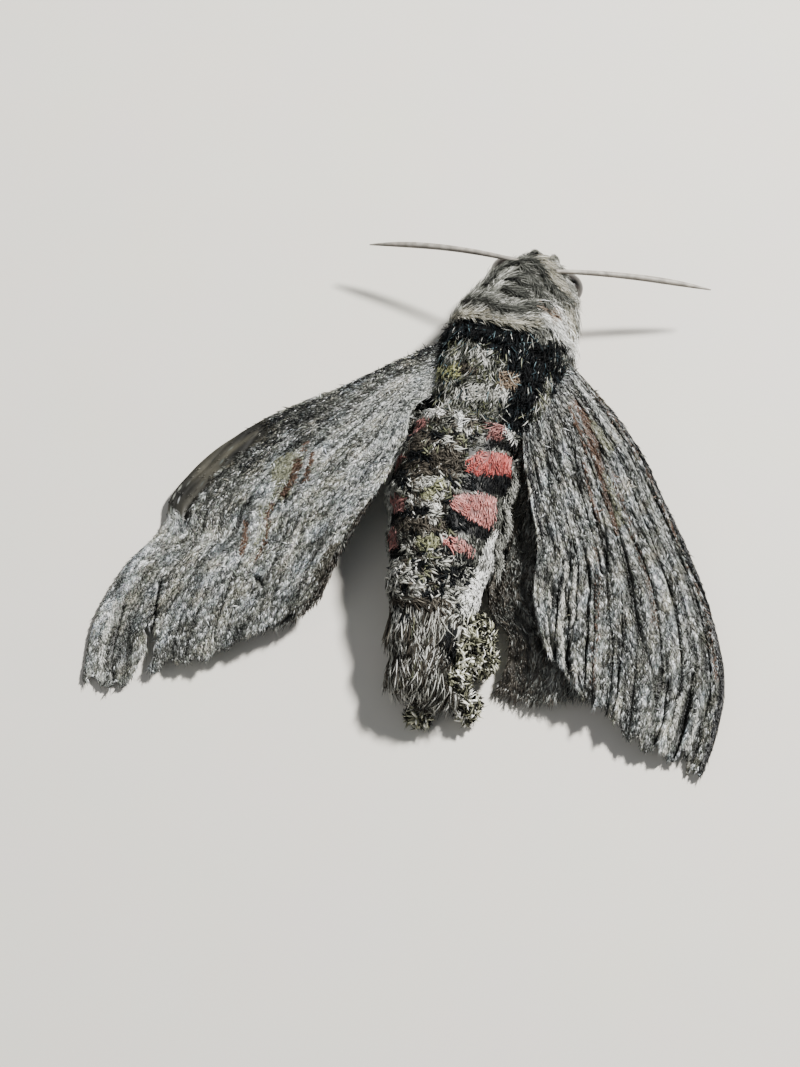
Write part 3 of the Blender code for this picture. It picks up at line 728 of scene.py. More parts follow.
def lock_coat():
    """The locks themselves: long hairs strung along each line, lying over the short coat."""
    random = np.random.default_rng(160)
    rows = []
    for line, width, codes in LOCKS:
        points = np.array(line)
        steps = lengths_along(points)
        hairs_per_area, raised = (180, 0.5) if codes is FUR_SMOKE else (134, 0.2)
        count = int(hairs_per_area * steps[-1] * (width + 0.2))
        at = random.random(count) * steps[-1]
        x = np.interp(at, steps, points[:, 0]) + random.normal(scale=width * 0.45, size=count)
        y = np.interp(at, steps, points[:, 1]) + random.normal(scale=width * 0.45, size=count)
        half, top, bottom, sway = body_section(y)
        angle = np.arccos(np.clip((x - sway) / half, -0.97, 0.97))
        place, normal = body_frame(y, angle)[:2]
        lie = laid_flat(line_way(x, y, line)[0], normal)
        level = 0.54 + 0.2 * random.normal(size=count) + 0.25 * ripple(place, 0.6, 161)
        level = level + head_painted_light(x, y)
        rows.append((place + normal * raised, normal, lie, ramp(codes, level), body_patch(y, angle)))
    place, normal, lie, colour, patch = (np.concatenate(column) for column in zip(*rows))
    count = len(place)
    made = coat("head_locks", hair_scales, place, normal, lie, random.uniform(1.1, 2.3, count),
                random.uniform(0.06, 0.12, count), np.radians(random.uniform(2, 20, count)), colour,
                patch, droop=0.8, curl=0.3, seed=162)
    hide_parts("head", "thorax")


def right_flank(place, angle):
    """Where the long flank hair grows: a strip along the right side at the height of the wings."""
    return np.abs(np.degrees(np.pi / 2 - angle) - 86) < 9


def flank_coat():
    """Long silky hair that bridges the gap between the right flank and the folded wings."""
    random = np.random.default_rng(170)
    y, angle, place, normal, tailward, turn = rooted_on_body(8000, -7.6, -20.5, random, right_flank)
    count = len(y)
    lie = turned(tailward, turn, 0.3 * random.normal(size=count))
    # Painted light: these hairs are painted lighter than the grey coat, against the shadow that the
    # forewing casts on them.
    level = 0.7 + 0.15 * random.normal(size=count) + 0.2 * ripple(place, 0.8, 171)
    made = coat("flank_coat", hair_scales, place, normal, lie, random.uniform(1.2, 2.5, count),
                random.uniform(0.08, 0.15, count), np.radians(random.uniform(30, 70, count)),
                ramp(FUR_GREY, level), body_patch(y, angle), seed=172)
    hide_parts("abdomen")


def on_the_back(place, angle):
    """Where loose flakes have caught: the abdomen's back left of the rose patches, and its end."""
    side = np.degrees(np.pi / 2 - angle)
    return ((side > -48) & (side < 12)) | ((place[:, 1] < -21.5) & (np.abs(side) < 70))


body_coat("head_coat", 8500, 12.8, 7.6, 1.0, 0.09, 24, 0.35, 101, "body_fur", ["head"])
body_coat("collar_coat", 9500, 8.4, 1.0, 1.5, 0.11, 22, 0.3, 102, "body_fur", ["thorax"])
body_coat("thorax_coat", 9900, 2.0, -8.4, 1.3, 0.12, 24, 0.5, 103, "body_fur", ["thorax"])
lock_coat()
flank_coat()
body_coat("abdomen_front_coat", 9700, -7.0, -17.0, 0.62, 0.105, 18, 0.3, 104, "abdomen_scales", ["abdomen"])
body_coat("abdomen_rear_coat", 9000, -17.0, -27.0, 0.62, 0.105, 18, 0.3, 107, "abdomen_scales", ["abdomen"])
body_coat("loose_flakes", 3200, -7.4, -26.8, 0.95, 0.22, 16, 1.3, 106, "abdomen_scales", ["abdomen"],
          keep=on_the_back, ridge=0.25)
body_coat("tail_coat", 6100, -26.2, -34.6, 1.9, 0.15, 7, 0.1, 105, "abdomen_scales",
          ["abdomen", "abdomen_tip"])

# ==== Tail clump ==================================================================================
# Loose, matted scales that cling to the right side of the abdomen's tip in a few round lumps.
# Short stiff flakes, greenish yellow to straw, point every way out of a core painted near-black as shade in
# the gaps between them.

CLUMP_YELLOW = ("#060604", "#2c2c23", "#83836c", "#cfceb8", "#fffef8")
# Centre and radii of each lump.
CLUMP_LUMPS = (
    ((5.3, -27.3, 3.3), (2.0, 2.1, 2.3)), ((6.4, -29.3, 2.6), (1.6, 1.7, 2.1)),
    ((4.6, -29.6, 3.4), (1.3, 1.5, 1.9)), ((4.6, -32.3, 2.6), (1.6, 1.3, 2.2)),
    ((6.7, -33.9, 1.3), (1.0, 1.5, 1.2)), ((2.2, -36.0, 1.1), (1.1, 0.9, 1.0)),
)
# The core's near-black colour, painted shade for the gaps between the flakes; its gap off the table; and
# flakes per square millimetre.
CORE_SHADE_BLACK, CORE_GAP, FLAKES_PER_AREA = "#0d0d0a", 0.05, 24


def lumpy(out):
    """How far the lumps reach in each direction, as a share of their radii."""
    x, y, z = out.T
    return 0.86 + 0.1 * np.sin(5 * x + 3 * y) * np.sin(4 * z + 2)


shape = bmesh.new()
for centre, radii in CLUMP_LUMPS:
    ball = bmesh.ops.create_icosphere(shape, subdivisions=3, radius=1.0)["verts"]
    for vertex in ball:
        out = np.array(vertex.co)
        vertex.co = Vector(out * radii * lumpy(out) + np.array(centre)) * MM
        vertex.co.z = max(vertex.co.z, CORE_GAP * MM)
mesh = shape_mesh(shape, "tail_clump_core")
tint_points(mesh, np.tile(linear(CORE_SHADE_BLACK), (len(mesh.vertices), 1)))
clump = add_object(mesh, "tail_clump_core", cuticle)
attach(clump, "root")
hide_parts("tail_clump")
random = np.random.default_rng(201)
rows = []
for number, (centre, radii) in enumerate(CLUMP_LUMPS):
    radii = np.array(radii)
    out = unit(random.normal(size=(int(FLAKES_PER_AREA * 4 * math.pi * radii.mean() ** 2), 3)))
    share = (turn_share(out[:, 0], out[:, 1]) + number) / len(CLUMP_LUMPS)
    rows.append((np.array(centre) + out * radii * lumpy(out)[:, None], unit(out / radii),
                 unwrap(share, np.arccos(out[:, 2]) / np.pi)))
place, normal, where = (np.concatenate(column) for column in zip(*rows))
standing = place[:, 2] > 0.1
place, normal, where = place[standing], normal[standing], where[standing]
count = len(place)
lie = unit(np.cross(normal, random.normal(size=normal.shape)))
tone = 0.47 + 0.24 * random.normal(size=count) + 0.55 * ripple(place, 1.1, 203)
clump_coat = coat(
    "tail_clump_coat", hair_scales, place, normal, lie, random.uniform(0.6, 1.5, count),
    random.uniform(0.16, 0.45, count), random.uniform(0.0, 0.9, count),
    ramp(CLUMP_YELLOW, tone), where, curl=0.4, ridge=0.25, root_shade=0.3, seed=202)
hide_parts("tail_clump")

# ==== Eyes ========================================================================================
# Two large compound eyes set deep in the head fur, dark brown and glossy. Their facets are
# about 0.03 mm across; they are drawn at 0.07 mm so that they show.

FACET, FACET_DEPTH = 0.07, 0.02
FACET_MIDDLE, FACET_RIM = "#241d1a", "#0f0c0b"
# Cornea is clear hard chitin over dark pigment: a smooth brown-black bead with a soft highlight.
cornea, tree = new_material("compound_eye_cornea")
place_node = add_node(tree, "ShaderNodeTexCoord")
facets = add_node(
    tree, "ShaderNodeTexVoronoi", {"Scale": 1 / (FACET * MM)}, {"Vector": place_node.outputs["Object"]})
dim = add_node(tree, "ShaderNodeValToRGB", links={"Fac": facets.outputs["Distance"]})
for stop, code in zip(dim.color_ramp.elements, (FACET_MIDDLE, FACET_RIM)):
    stop.color = rgba(code)
domes = add_node(
    tree, "ShaderNodeBump", {"Strength": 0.5, "Distance": FACET_DEPTH * MM, "invert": True},
    {"Height": facets.outputs["Distance"]})
put_shader(tree, add_node(
    tree, "ShaderNodeBsdfPrincipled",
    {"Roughness": 0.28, "IOR": 1.5, "Coat Weight": 0.15, "Coat Roughness": 0.2},
    {"Base Color": dim.outputs["Color"], "Normal": domes.outputs["Normal"]}))
for side, centre in EYES.items():
    shape = bmesh.new()
    bmesh.ops.create_uvsphere(shape, u_segments=48, v_segments=32, radius=EYE_RADIUS * MM)
    bmesh.ops.translate(shape, vec=Vector(centre) * MM, verts=shape.verts)
    name = "eye_" + side + "_cornea"
    eye = add_object(shape_mesh(shape, name), name, cornea)
    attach(eye, "root")
    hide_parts("eye_" + side)

# ==== Palps and proboscis =========================================================================
# Two upright furry palps stand before the face, and between and below them the sucking tube
# lies rolled like a watch spring, brown, ringed and bare.

PALP_RADII = np.array((0.62, 0.82, 1.45))
PALP_CENTRE, PALP_SPACING, PALP_GREY, PALP_HAIRS = (0.6, 12.9, 4.0), 1.0, "#4b4a44", 1500
for sign, side in ((-1, "left"), (1, "right")):
    centre = np.array(PALP_CENTRE) + (sign * PALP_SPACING, 0, 0)
    shape = bmesh.new()
    bmesh.ops.create_uvsphere(shape, u_segments=24, v_segments=18, radius=1.0)
    for vertex in shape.verts:
        vertex.co = Vector(np.array(vertex.co) * PALP_RADII + centre) * MM
    mesh = shape_mesh(shape, "palp_" + side + "_skin")
    tint_points(mesh, np.tile(linear(PALP_GREY), (len(mesh.vertices), 1)))
    palp = add_object(mesh, "palp_" + side + "_skin", cuticle)
    random = np.random.default_rng(301 + sign)
    out = unit(random.normal(size=(PALP_HAIRS, 3)))
    normal = unit(out / PALP_RADII)
    lie = laid_flat((0.0, 0.2, 1.0) + 0.25 * random.normal(size=(PALP_HAIRS, 3)), normal)
    light = 0.55 + 0.3 * (0.4 - out[:, 2]) + 0.15 * random.normal(size=PALP_HAIRS)
    fur = coat(
        "palp_" + side + "_coat", hair_scales, centre + out * PALP_RADII, normal, lie,
        random.uniform(0.35, 0.65, PALP_HAIRS), random.uniform(0.06, 0.1, PALP_HAIRS),
        random.uniform(0.1, 0.4, PALP_HAIRS), ramp(FUR_GREY, light),
        unwrap(turn_share(out[:, 0], out[:, 1]), np.arccos(out[:, 2]) / np.pi), rings=1, seed=302)
    for piece in (palp, fur):
        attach(piece, "root")
        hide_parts("palp_" + side)


TUBE_SIDES = 10


def sweep(shape, points, radii):
    """A closed tube through the points: a ring is made, then extruded and fitted at each point."""
    points = [Vector(point) for point in points]
    ends = [points[0], *points, points[-1]]
    ways = [(after - before).normalized() for before, after in zip(ends, ends[2:])]
    ring = bmesh.ops.create_circle(shape, cap_ends=True, radius=1.0, segments=TUBE_SIDES)["verts"]
    unit_ring = [vertex.co.copy() for vertex in ring]
    across = ways[0].orthogonal().normalized()
    edges = list({edge for vertex in ring for edge in vertex.link_edges})
    for i, (point, way, radius) in enumerate(zip(points, ways, radii)):
        across = (across - way * across.dot(way)).normalized()
        up = way.cross(across)
        if i:
            grown = bmesh.ops.extrude_edge_only(shape, edges=edges)["geom"]
            new = [item for item in grown if isinstance(item, bmesh.types.BMVert)]
            grown_from = {}
            for vertex in new:
                joined = (edge.other_vert(vertex) for edge in vertex.link_edges)
                grown_from[next(other for other in joined if other in ring)] = vertex
            ring = [grown_from[vertex] for vertex in ring]
            edges = [item for item in grown if isinstance(item, bmesh.types.BMEdge)]
            edges = [edge for edge in edges if edge.verts[0] in new and edge.verts[1] in new]
        for vertex, base in zip(ring, unit_ring):
            vertex.co = point + (across * base.x + up * base.y) * radius
    bmesh.ops.contextual_create(shape, geom=edges)


def settle(mesh, tint_at, size=1.0):
    """Lifts a mesh's points clear of the table, tints them and leaves their places in metres.

    The size is that of the mesh's own unit in millimetres.
    """
    normals = np.array([vertex.normal for vertex in mesh.vertices])
    places = np.empty(len(mesh.vertices) * 3)
    mesh.vertices.foreach_get("co", places)
    places = places.reshape(-1, 3) * size
    places[:, 2] = np.maximum(places[:, 2], TABLE_GAP)
    mesh.vertices.foreach_set("co", (places * MM).ravel())
    tint_points(mesh, tint_at(places, normals))


def tube_object(name, parts, tint_at):
    """Swept tubes of horn joined as one piece, coloured point by point."""
    shape = bmesh.new()
    for points, radii in parts:
        sweep(shape, points, radii)
    bmesh.ops.recalc_face_normals(shape, faces=shape.faces)
    mesh = shape_mesh(shape, name)
    settle(mesh, tint_at)
    made = add_object(mesh, name, cuticle)
    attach(made, "root")
    return made


COIL_CENTRE, COIL_TURNS, COIL_RINGS = np.array((0.6, 10.7, 1.5)), 1.4, 150
COIL_START, COIL_PITCH, COIL_THICK = 0.4, 0.66, 0.19
HORN_BROWN = ("#2e2118", "#5a4330", "#7d634a")
turns = np.linspace(0, COIL_TURNS, COIL_RINGS)
reach, around = COIL_START + COIL_PITCH * turns, 2 * np.pi * turns
coil = COIL_CENTRE + np.stack([0 * turns, reach * np.cos(around), reach * np.sin(around)], 1)
ringed = COIL_THICK + 0.02 * np.cos(np.arange(COIL_RINGS) * np.pi)
# Painted light: the tube is painted lighter where it faces up and darker where it faces down.
proboscis = tube_object(
    "proboscis_coil", [(coil, ringed)],
    lambda place, normal: ramp(HORN_BROWN, 0.45 + 0.35 * normal[:, 2]))
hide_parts("proboscis")

# ==== Antennae ====================================================================================
# Stiff spindle-shaped feelers of some sixty short joints, swung out sideways from the crown.
# Their upper side is dusted with pale scales and the lower side is bare brown horn; the tint grades between
# them by how far each point faces up, which is also painted light.

# Root, middle and tip of each.
ANTENNAE = {
    "left": ((-1.3, 10.6, 7.9), (-9.3, 10.5, 6.4), (-16.8, 9.4, 4.6)),
    "right": ((2.4, 10.6, 7.9), (10.1, 13.0, 6.4), (17.7, 14.7, 4.6)),
}
# How many joints a feeler has, and how far out it is thickest.
JOINTS, THICKEST = 62, 0.65
ANTENNA_PALE = ("#4b3f36", "#7a6f65", "#a8a095", "#c9c3b8")
for side, line in ANTENNAE.items():
    root, middle, tip = np.array(line)
    handle = 2 * middle - (root + tip) / 2
    at = np.linspace(0, 1, JOINTS * 2)[:, None]
    line = root * (1 - at) ** 2 + handle * 2 * at * (1 - at) + tip * at * at
    at = at[:, 0]
    thick = np.where(
        at < THICKEST, 0.2 + 0.1 * np.sin(np.pi / 2 * at / THICKEST),
        0.3 - 0.24 * ((at - THICKEST) / (1 - THICKEST)) ** 2)
    serrated = thick * (1 + 0.1 * (np.arange(len(at)) % 2))
    # Painted light together with the pale scaling: the tint grows lighter the more a point faces up.
    feeler = tube_object(
        "antenna_" + side + "_joints", [(line, serrated)],
        lambda place, normal: ramp(
            ANTENNA_PALE, 0.45 + 0.5 * normal[:, 2] + 0.12 * ripple(place, 0.9, 7)))
    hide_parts("antenna_" + side)

# ==== Legs ========================================================================================
# Three pairs of jointed horn legs: a thick scaled thigh, a spurred shin and a foot of five short
# joints that ends in two hooked claws. They are tucked under the wings, feet on the table.

# Hip, knee, ankle and toe of each leg.
LEGS = {
    "foreleg_left": ((-2.9, 7.4, 1.9), (-3.0, 10.4, 2.0), (-2.3, 12.4, 1.0), (-1.5, 14.0, 0.28)),
    "foreleg_right": ((3.7, 7.4, 1.9), (4.2, 10.2, 2.0), (3.6, 12.2, 1.0), (3.1, 13.8, 0.28)),
    "midleg_left": ((-4.6, -1.2, 2.2), (-9.0, -2.6, 2.8), (-11.4, -5.8, 1.0), (-13.8, -9.8, 0.28)),
    "midleg_right": ((4.6, -0.8, 2.2), (8.2, -3.2, 2.8), (11.0, -6.4, 1.0), (13.8, -9.6, 0.28)),
    "hindleg_left": ((-4.8, -4.4, 2.2), (-9.0, -7.4, 2.6), (-10.4, -13.4, 0.9), (-10.6, -19.0, 0.28)),
    "hindleg_right": ((4.8, -4.4, 2.2), (8.2, -7.4, 2.6), (8.6, -13.4, 0.9), (9.0, -19.0, 0.28)),
}
LEG_GREY = ("#2c261f", "#564e43", "#8a8376", "#b9b3a6")


# Radii along the thigh and along the shin, and along each joint of the foot at those shares of it.
THIGH, SHIN = (0.42, 0.58, 0.6, 0.5, 0.34), (0.3, 0.38, 0.36, 0.3, 0.26)
FOOT_JOINTS = (0.0, 0.42, 0.6, 0.75, 0.87, 1.0)
FOOT_RADII = ((0.0, 0.12), (0.15, 0.15), (0.85, 0.2), (1.0, 0.15))
SPUR, CLAW = (0.11, 0.1, 0.08, 0.05, 0.02), (0.07, 0.06, 0.045, 0.02)
# A claw's points: how far past the toe, how far to its side and how far up.
CLAW_LINE = ((0.0, 0.04, 0.0), (0.18, 0.14, 0.06), (0.34, 0.18, -0.02), (0.42, 0.17, -0.14))
# Radius and number of the scales on the thigh, the shin and the foot.
LEG_SCALES = ((0.5, 700), (0.32, 500), (0.17, 400))
UP = np.array((0, 0, 1.0))


def limb_parts(hip, knee, ankle, toe):
    """The swept parts of one leg as lists of points and radii."""
    parts = []
    for start, end, radii in ((hip, knee, THIGH), (knee, ankle, SHIN)):
        at = np.linspace(0, 1, 13)
        radii = np.interp(at, np.linspace(0, 1, len(radii)), radii)
        parts.append((start + (end - start) * at[:, None], radii))
    foot = [(low + (high - low) * share, radius)
            for low, high in zip(FOOT_JOINTS, FOOT_JOINTS[1:]) for share, radius in FOOT_RADII]
    parts.append(([ankle + (toe - ankle) * at for at, _ in foot], [radius for _, radius in foot]))
    along, way = unit(ankle - knee), unit(toe - ankle)
    for swing in (-1, 1):
        spur_tip = ankle + along * 0.5 + np.cross(along, UP) * swing * 0.6
        spur_tip[2] = max(spur_tip[2], 0.15)
        parts.append((np.linspace(ankle - along * 0.3, spur_tip, len(SPUR)), SPUR))
        aside = np.cross(way, UP) * swing
        parts.append(([toe + way * past + aside * out + UP * up for past, out, up in CLAW_LINE], CLAW))
    return parts


for name, joints in LEGS.items():
    joints = np.array(joints)
    # Painted light: the horn is painted lighter where it faces up and darker underneath, over a random
    # mottle.
    leg = tube_object(
        name + "_horn", limb_parts(*joints),
        lambda place, normal: ramp(LEG_GREY, 0.35 + 0.3 * normal[:, 2] + 0.35 * ripple(place, 1.6, 9)))
    random = np.random.default_rng(len(name) * 7 + int(joints[0, 1] * 10) % 97)
    rows = []
    for start, end, (radius, count) in zip(joints, joints[1:], LEG_SCALES):
        at = random.random((count, 1))
        way = unit(end - start)
        out = random.normal(size=(count, 3))
        out = unit(out - way * (out @ way)[:, None])
        rows.append((start + (end - start) * at + out * radius * 0.9, out, np.tile(way, (count, 1)),
                     np.full(count, radius)))
    rows = [np.concatenate(column) for column in zip(*rows)]
    place, out, way, radius = (column[rows[0][:, 2] > 0.05] for column in rows)
    count = len(place)
    lie = unit(way + 0.25 * random.normal(size=(count, 3)))
    scales = coat(
        name + "_scales", hair_scales, place, out, lie, 0.35 + 0.9 * radius * random.random(count),
        random.uniform(0.05, 0.1, count), random.uniform(0.1, 0.5, count),
        ramp(LEG_GREY, 0.6 + 0.25 * random.normal(size=count)),
        unwrap(turn_share(out[:, 0], out[:, 2]), np.linspace(0, 1, count)), rings=1, seed=401)
    for piece in (leg, scales):
        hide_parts(name)

# ==== Forewings ===================================================================================
# Each is a sheet of dead, dried membrane a tenth of a millimetre thick, stretched on veins that
# fan out from the shoulder and shingled with worn scales. The left lies flat with a torn, frayed
# tip; the right has shrunk into long pleats. Both slope from the shoulder down to the table.

# Front edge, rear edge, and the outer margin between their ends, of each wing.
FOREWING_LINES = {
    "left": (
        ((-4.8, 1.0, 8.2), (-8.2, -1.6, 7.6), (-14.8, -6.7, 5.4), (-21.7, -11.7, 3.1),
         (-27.0, -18.4, 1.3), (-28.2, -21.9, 0.8), (-27.9, -23.6, 0.7), (-30.2, -29.3, 0.5),
         (-31.4, -36.2, 0.35), (-30.5, -42.2, 0.3)),
        ((-4.4, -4.6, 8.2), (-7.0, -7.9, 7.6), (-6.8, -11.7, 7.0), (-7.9, -16.1, 6.2),
         (-9.6, -20.6, 5.4), (-10.6, -25.1, 4.6), (-11.4, -28.6, 3.9)),
        ((-26.8, -41.9, 0.6), (-24.9, -40.4, 0.8), (-23.0, -38.4, 1.4), (-20.1, -37.4, 1.7),
         (-16.8, -34.4, 2.5), (-13.8, -31.7, 3.2)),
    ),
    "right": (
        ((4.6, 2.6, 8.4), (7.7, 0.8, 7.4), (11.6, -1.4, 6.0), (15.7, -4.3, 4.4),
         (19.6, -8.5, 2.8), (23.4, -12.7, 1.5), (27.5, -18.6, 0.7), (30.0, -24.0, 0.45),
         (30.6, -29.4, 0.3), (30.3, -34.3, 0.3)),
        ((3.2, -3.0, 8.6), (3.7, -5.6, 8.0), (4.9, -9.3, 7.0), (6.7, -13.1, 6.3),
         (8.7, -17.3, 5.6), (9.6, -21.6, 5.0), (10.9, -24.8, 4.3), (12.4, -27.0, 4.0)),
        ((27.7, -33.4, 0.8), (23.0, -32.9, 1.7), (20.7, -31.5, 2.1), (16.8, -30.0, 3.0),
         (14.2, -28.2, 3.7)),
    ),
}
# How far each wing arches up between its edges.
CAMBER = 0.9


def along_line(points, at):
    """Places at fractions of the length of a smooth line through the points."""
    points = np.array(points)
    keys = lengths_along(points)
    return smooth(keys / keys[-1], points, at)


def stretched(lines, span, chord):
    """Places on the sheet between a front edge, a rear edge and an outer margin."""
    front, rear, margin = (np.array(line) for line in lines)
    margin = np.vstack([front[-1:], margin, rear[-1:]])
    s, c = span[:, None], chord[:, None]
    root = front[0] * (1 - c) + rear[0] * c
    sides = along_line(front, span) * (1 - c) + along_line(rear, span) * c
    ends = root * (1 - s) + along_line(margin, chord) * s
    corners = root * (1 - s) + (margin[0] * (1 - c) + margin[-1] * c) * s
    return sides + ends - corners


# How wide the wing is as a share of its length, so that marks drawn on it keep their shape.
WING_BREADTH = 0.38
# Creases: spans and chords that each follows, half its width as a share of the span, and depth.
CREASES = {
    "left": (
        (((0.78, 0.17), (0.82, 0.2), (0.85, 0.226), (0.9, 0.245)), 0.003, 0.35),
        (((0.553, 0.525), (0.565, 0.533), (0.575, 0.545)), 0.0032, 0.35),
        (((0.588, 0.385), (0.602, 0.397)), 0.003, 0.3),
        (((0.7, 0.556), (0.722, 0.562)), 0.003, 0.35),
        (((0.08, 0.45), (0.35, 0.42), (0.44, 0.44)), 0.0022, 0.12),
        (((0.1, 0.64), (0.3, 0.655), (0.5, 0.66)), 0.0022, 0.14),
        (((0.12, 0.8), (0.3, 0.84), (0.48, 0.85)), 0.0022, 0.14),
        (((0.41, 0.05), (0.48, 0.12), (0.56, 0.1), (0.645, 0.09)), 0.003, 0.15),
        (((0.42, 0.02), (0.5, 0.06), (0.6, 0.05)), 0.002, 0.1),
        (((0.44, 0.0), (0.54, 0.03), (0.63, 0.03)), 0.002, 0.1),
        (((0.62, 0.74), (0.78, 0.75), (0.92, 0.78)), 0.0022, 0.12),
        (((0.75, 0.5), (0.88, 0.53), (0.97, 0.55)), 0.0022, 0.14),
        (((0.84, 0.08), (0.92, 0.1), (0.99, 0.12)), 0.0025, 0.16),
        (((0.8, 0.63), (0.835, 0.67), (0.85, 0.69)), 0.003, 0.25),
    ),
    "right": (
        (((0.2, 0.74), (0.45, 0.742), (0.78, 0.75)), 0.003, 0.4),
        (((0.28, 0.6), (0.5, 0.597), (0.62, 0.61)), 0.003, 0.4),
        (((0.42, 0.548), (0.5, 0.547), (0.58, 0.552)), 0.003, 0.4),
        (((0.25, 0.44), (0.5, 0.434), (0.68, 0.44)), 0.0024, 0.3),
        (((0.12, 0.2), (0.5, 0.208), (0.86, 0.21)), 0.0024, 0.3),
        (((0.05, 0.08), (0.5, 0.062), (0.98, 0.07)), 0.0026, 0.3),
        (((0.66, 0.5), (0.99, 0.53)), 0.0024, 0.35),
        (((0.6, 0.67), (0.95, 0.7)), 0.0026, 0.35),
        (((0.8, 0.16), (0.99, 0.16)), 0.0034, 0.5),
        (((0.84, 0.26), (0.99, 0.27)), 0.0026, 0.4),
        (((0.62, 0.84), (0.82, 0.87), (0.97, 0.9)), 0.0026, 0.4),
        (((0.7, 0.79), (0.88, 0.8), (0.98, 0.81)), 0.0026, 0.35),
    ),
}


def on_wing(span, chord, along, across, seed):
    """Smooth noise with so many waves along the wing and across the same length of it."""
    return ripple(np.stack([span * along, chord * WING_BREADTH * across], 1), 1.0, seed)


def line_distance(span, chord, line):
    """How far each place is from a line drawn on the wing, which wavers a little."""
    line = [(s, c * WING_BREADTH) for s, c in line]
    return stroke_distance(span, chord * WING_BREADTH + 0.003 * on_wing(span, chord, 6, 1, 74), line)


# Number and depth of the folds, number of the vein lines, and height of the fine relief.
FOLDS = {"left": (4, 0.12, 30, 0.075), "right": (8, 0.32, 27, 0.17)}
# How much of the wrinkles the relief has, and how much painted light the veins and the folds put on the
# crests, with painted shade in the valleys.
CREST_LIGHT_SHARES = {"left": (0.14, 0.55, 0.1), "right": (0.1, 0.6, 0.3)}


def relief(side, span, chord):
    """How far folds, veins and creases lift the sheet, and the painted light on its crests and painted
    shade in its valleys and creases.
    """
    folds, depth, veins, fine = FOLDS[side]
    wrinkled, by_veins, by_folds = CREST_LIGHT_SHARES[side]
    fold = np.cos(2 * np.pi * (folds * chord + 0.16 * on_wing(span, chord, 2.5, 5, 70)))
    # The folds waver. Each vein line is a sharp valley between two rounded ridges.
    valley = portion(np.abs(on_wing(span, chord, 2.2, veins, 71)) * 3.4)
    ridge = (0.75 * (2 * valley - 1) + 0.4 * on_wing(span, chord, 9, 88, 72)
             + wrinkled * on_wing(span, chord, 24, 55, 77))
    grown = np.minimum(1, 4 * span)
    height = depth * span * fold + fine * grown * ridge
    painted_relief_shading = by_veins * ridge + by_folds * fold * grown
    ragged = 0.85 + 0.4 * on_wing(span, chord, 11, 20, 73)
    for line, width, deep in CREASES[side]:
        groove = portion(1.6 - line_distance(span, chord, line) / (width * ragged))
        height = height - deep * groove
        painted_relief_shading = painted_relief_shading - 1.5 * groove
    return height, painted_relief_shading


def sheet_grid(place_at, spans, chords):
    """Places on a wing at every crossing of a grid of spans and chords."""
    span, chord = np.meshgrid(
        np.linspace(0, 1, spans + 1), np.linspace(0, 1, chords + 1), indexing="ij")
    return place_at(span.ravel(), chord.ravel()).reshape(spans + 1, chords + 1, 3)


def on_sheet(grid, span, chord):
    """Place, upward normal, outward vein direction, area and length of span at spans and chords."""
    spans, chords = grid.shape[0] - 1, grid.shape[1] - 1
    i = np.clip((span * spans).astype(int), 0, spans - 1)
    j = np.clip((chord * chords).astype(int), 0, chords - 1)
    a, b = (span * spans - i)[:, None], (chord * chords - j)[:, None]
    p00, p10, p01, p11 = grid[i, j], grid[i + 1, j], grid[i, j + 1], grid[i + 1, j + 1]
    place = (p00 * (1 - a) + p10 * a) * (1 - b) + (p01 * (1 - a) + p11 * a) * b
    vein = (p10 - p00) * (1 - b) + (p11 - p01) * b
    across = (p01 - p00) * (1 - a) + (p11 - p10) * a
    normal = np.cross(vein, across)
    normal = unit(normal * np.where(normal[:, 2:] < 0, -1, 1))
    area = np.linalg.norm(np.cross(vein, across), axis=1)
    return place, normal, unit(vein), area, np.linalg.norm(vein, axis=1) * spans


WING_GREY = ("#191a17", "#454742", "#7f817c", "#b5b7b2", "#e4e5e2")
WING_DARK = ("#0e0f0d", "#2f302c", "#595a55", "#96978f")
WING_PALE = ("#50534e", "#8f928e", "#bfc1bd", "#e9eae8")
# Glint white, for painted highlights.
WING_GLINT = ("#8d908e", "#c6c9c8", "#eef0f0", "#ffffff")
WING_BROWN = ("#35271d", "#5c4536", "#83695a")
WING_OLIVE = ("#47483a", "#7f806a", "#aeae98")
STRIP_BROWN = ("#1e1d18", "#35332b", "#4f4c41", "#716d5f")
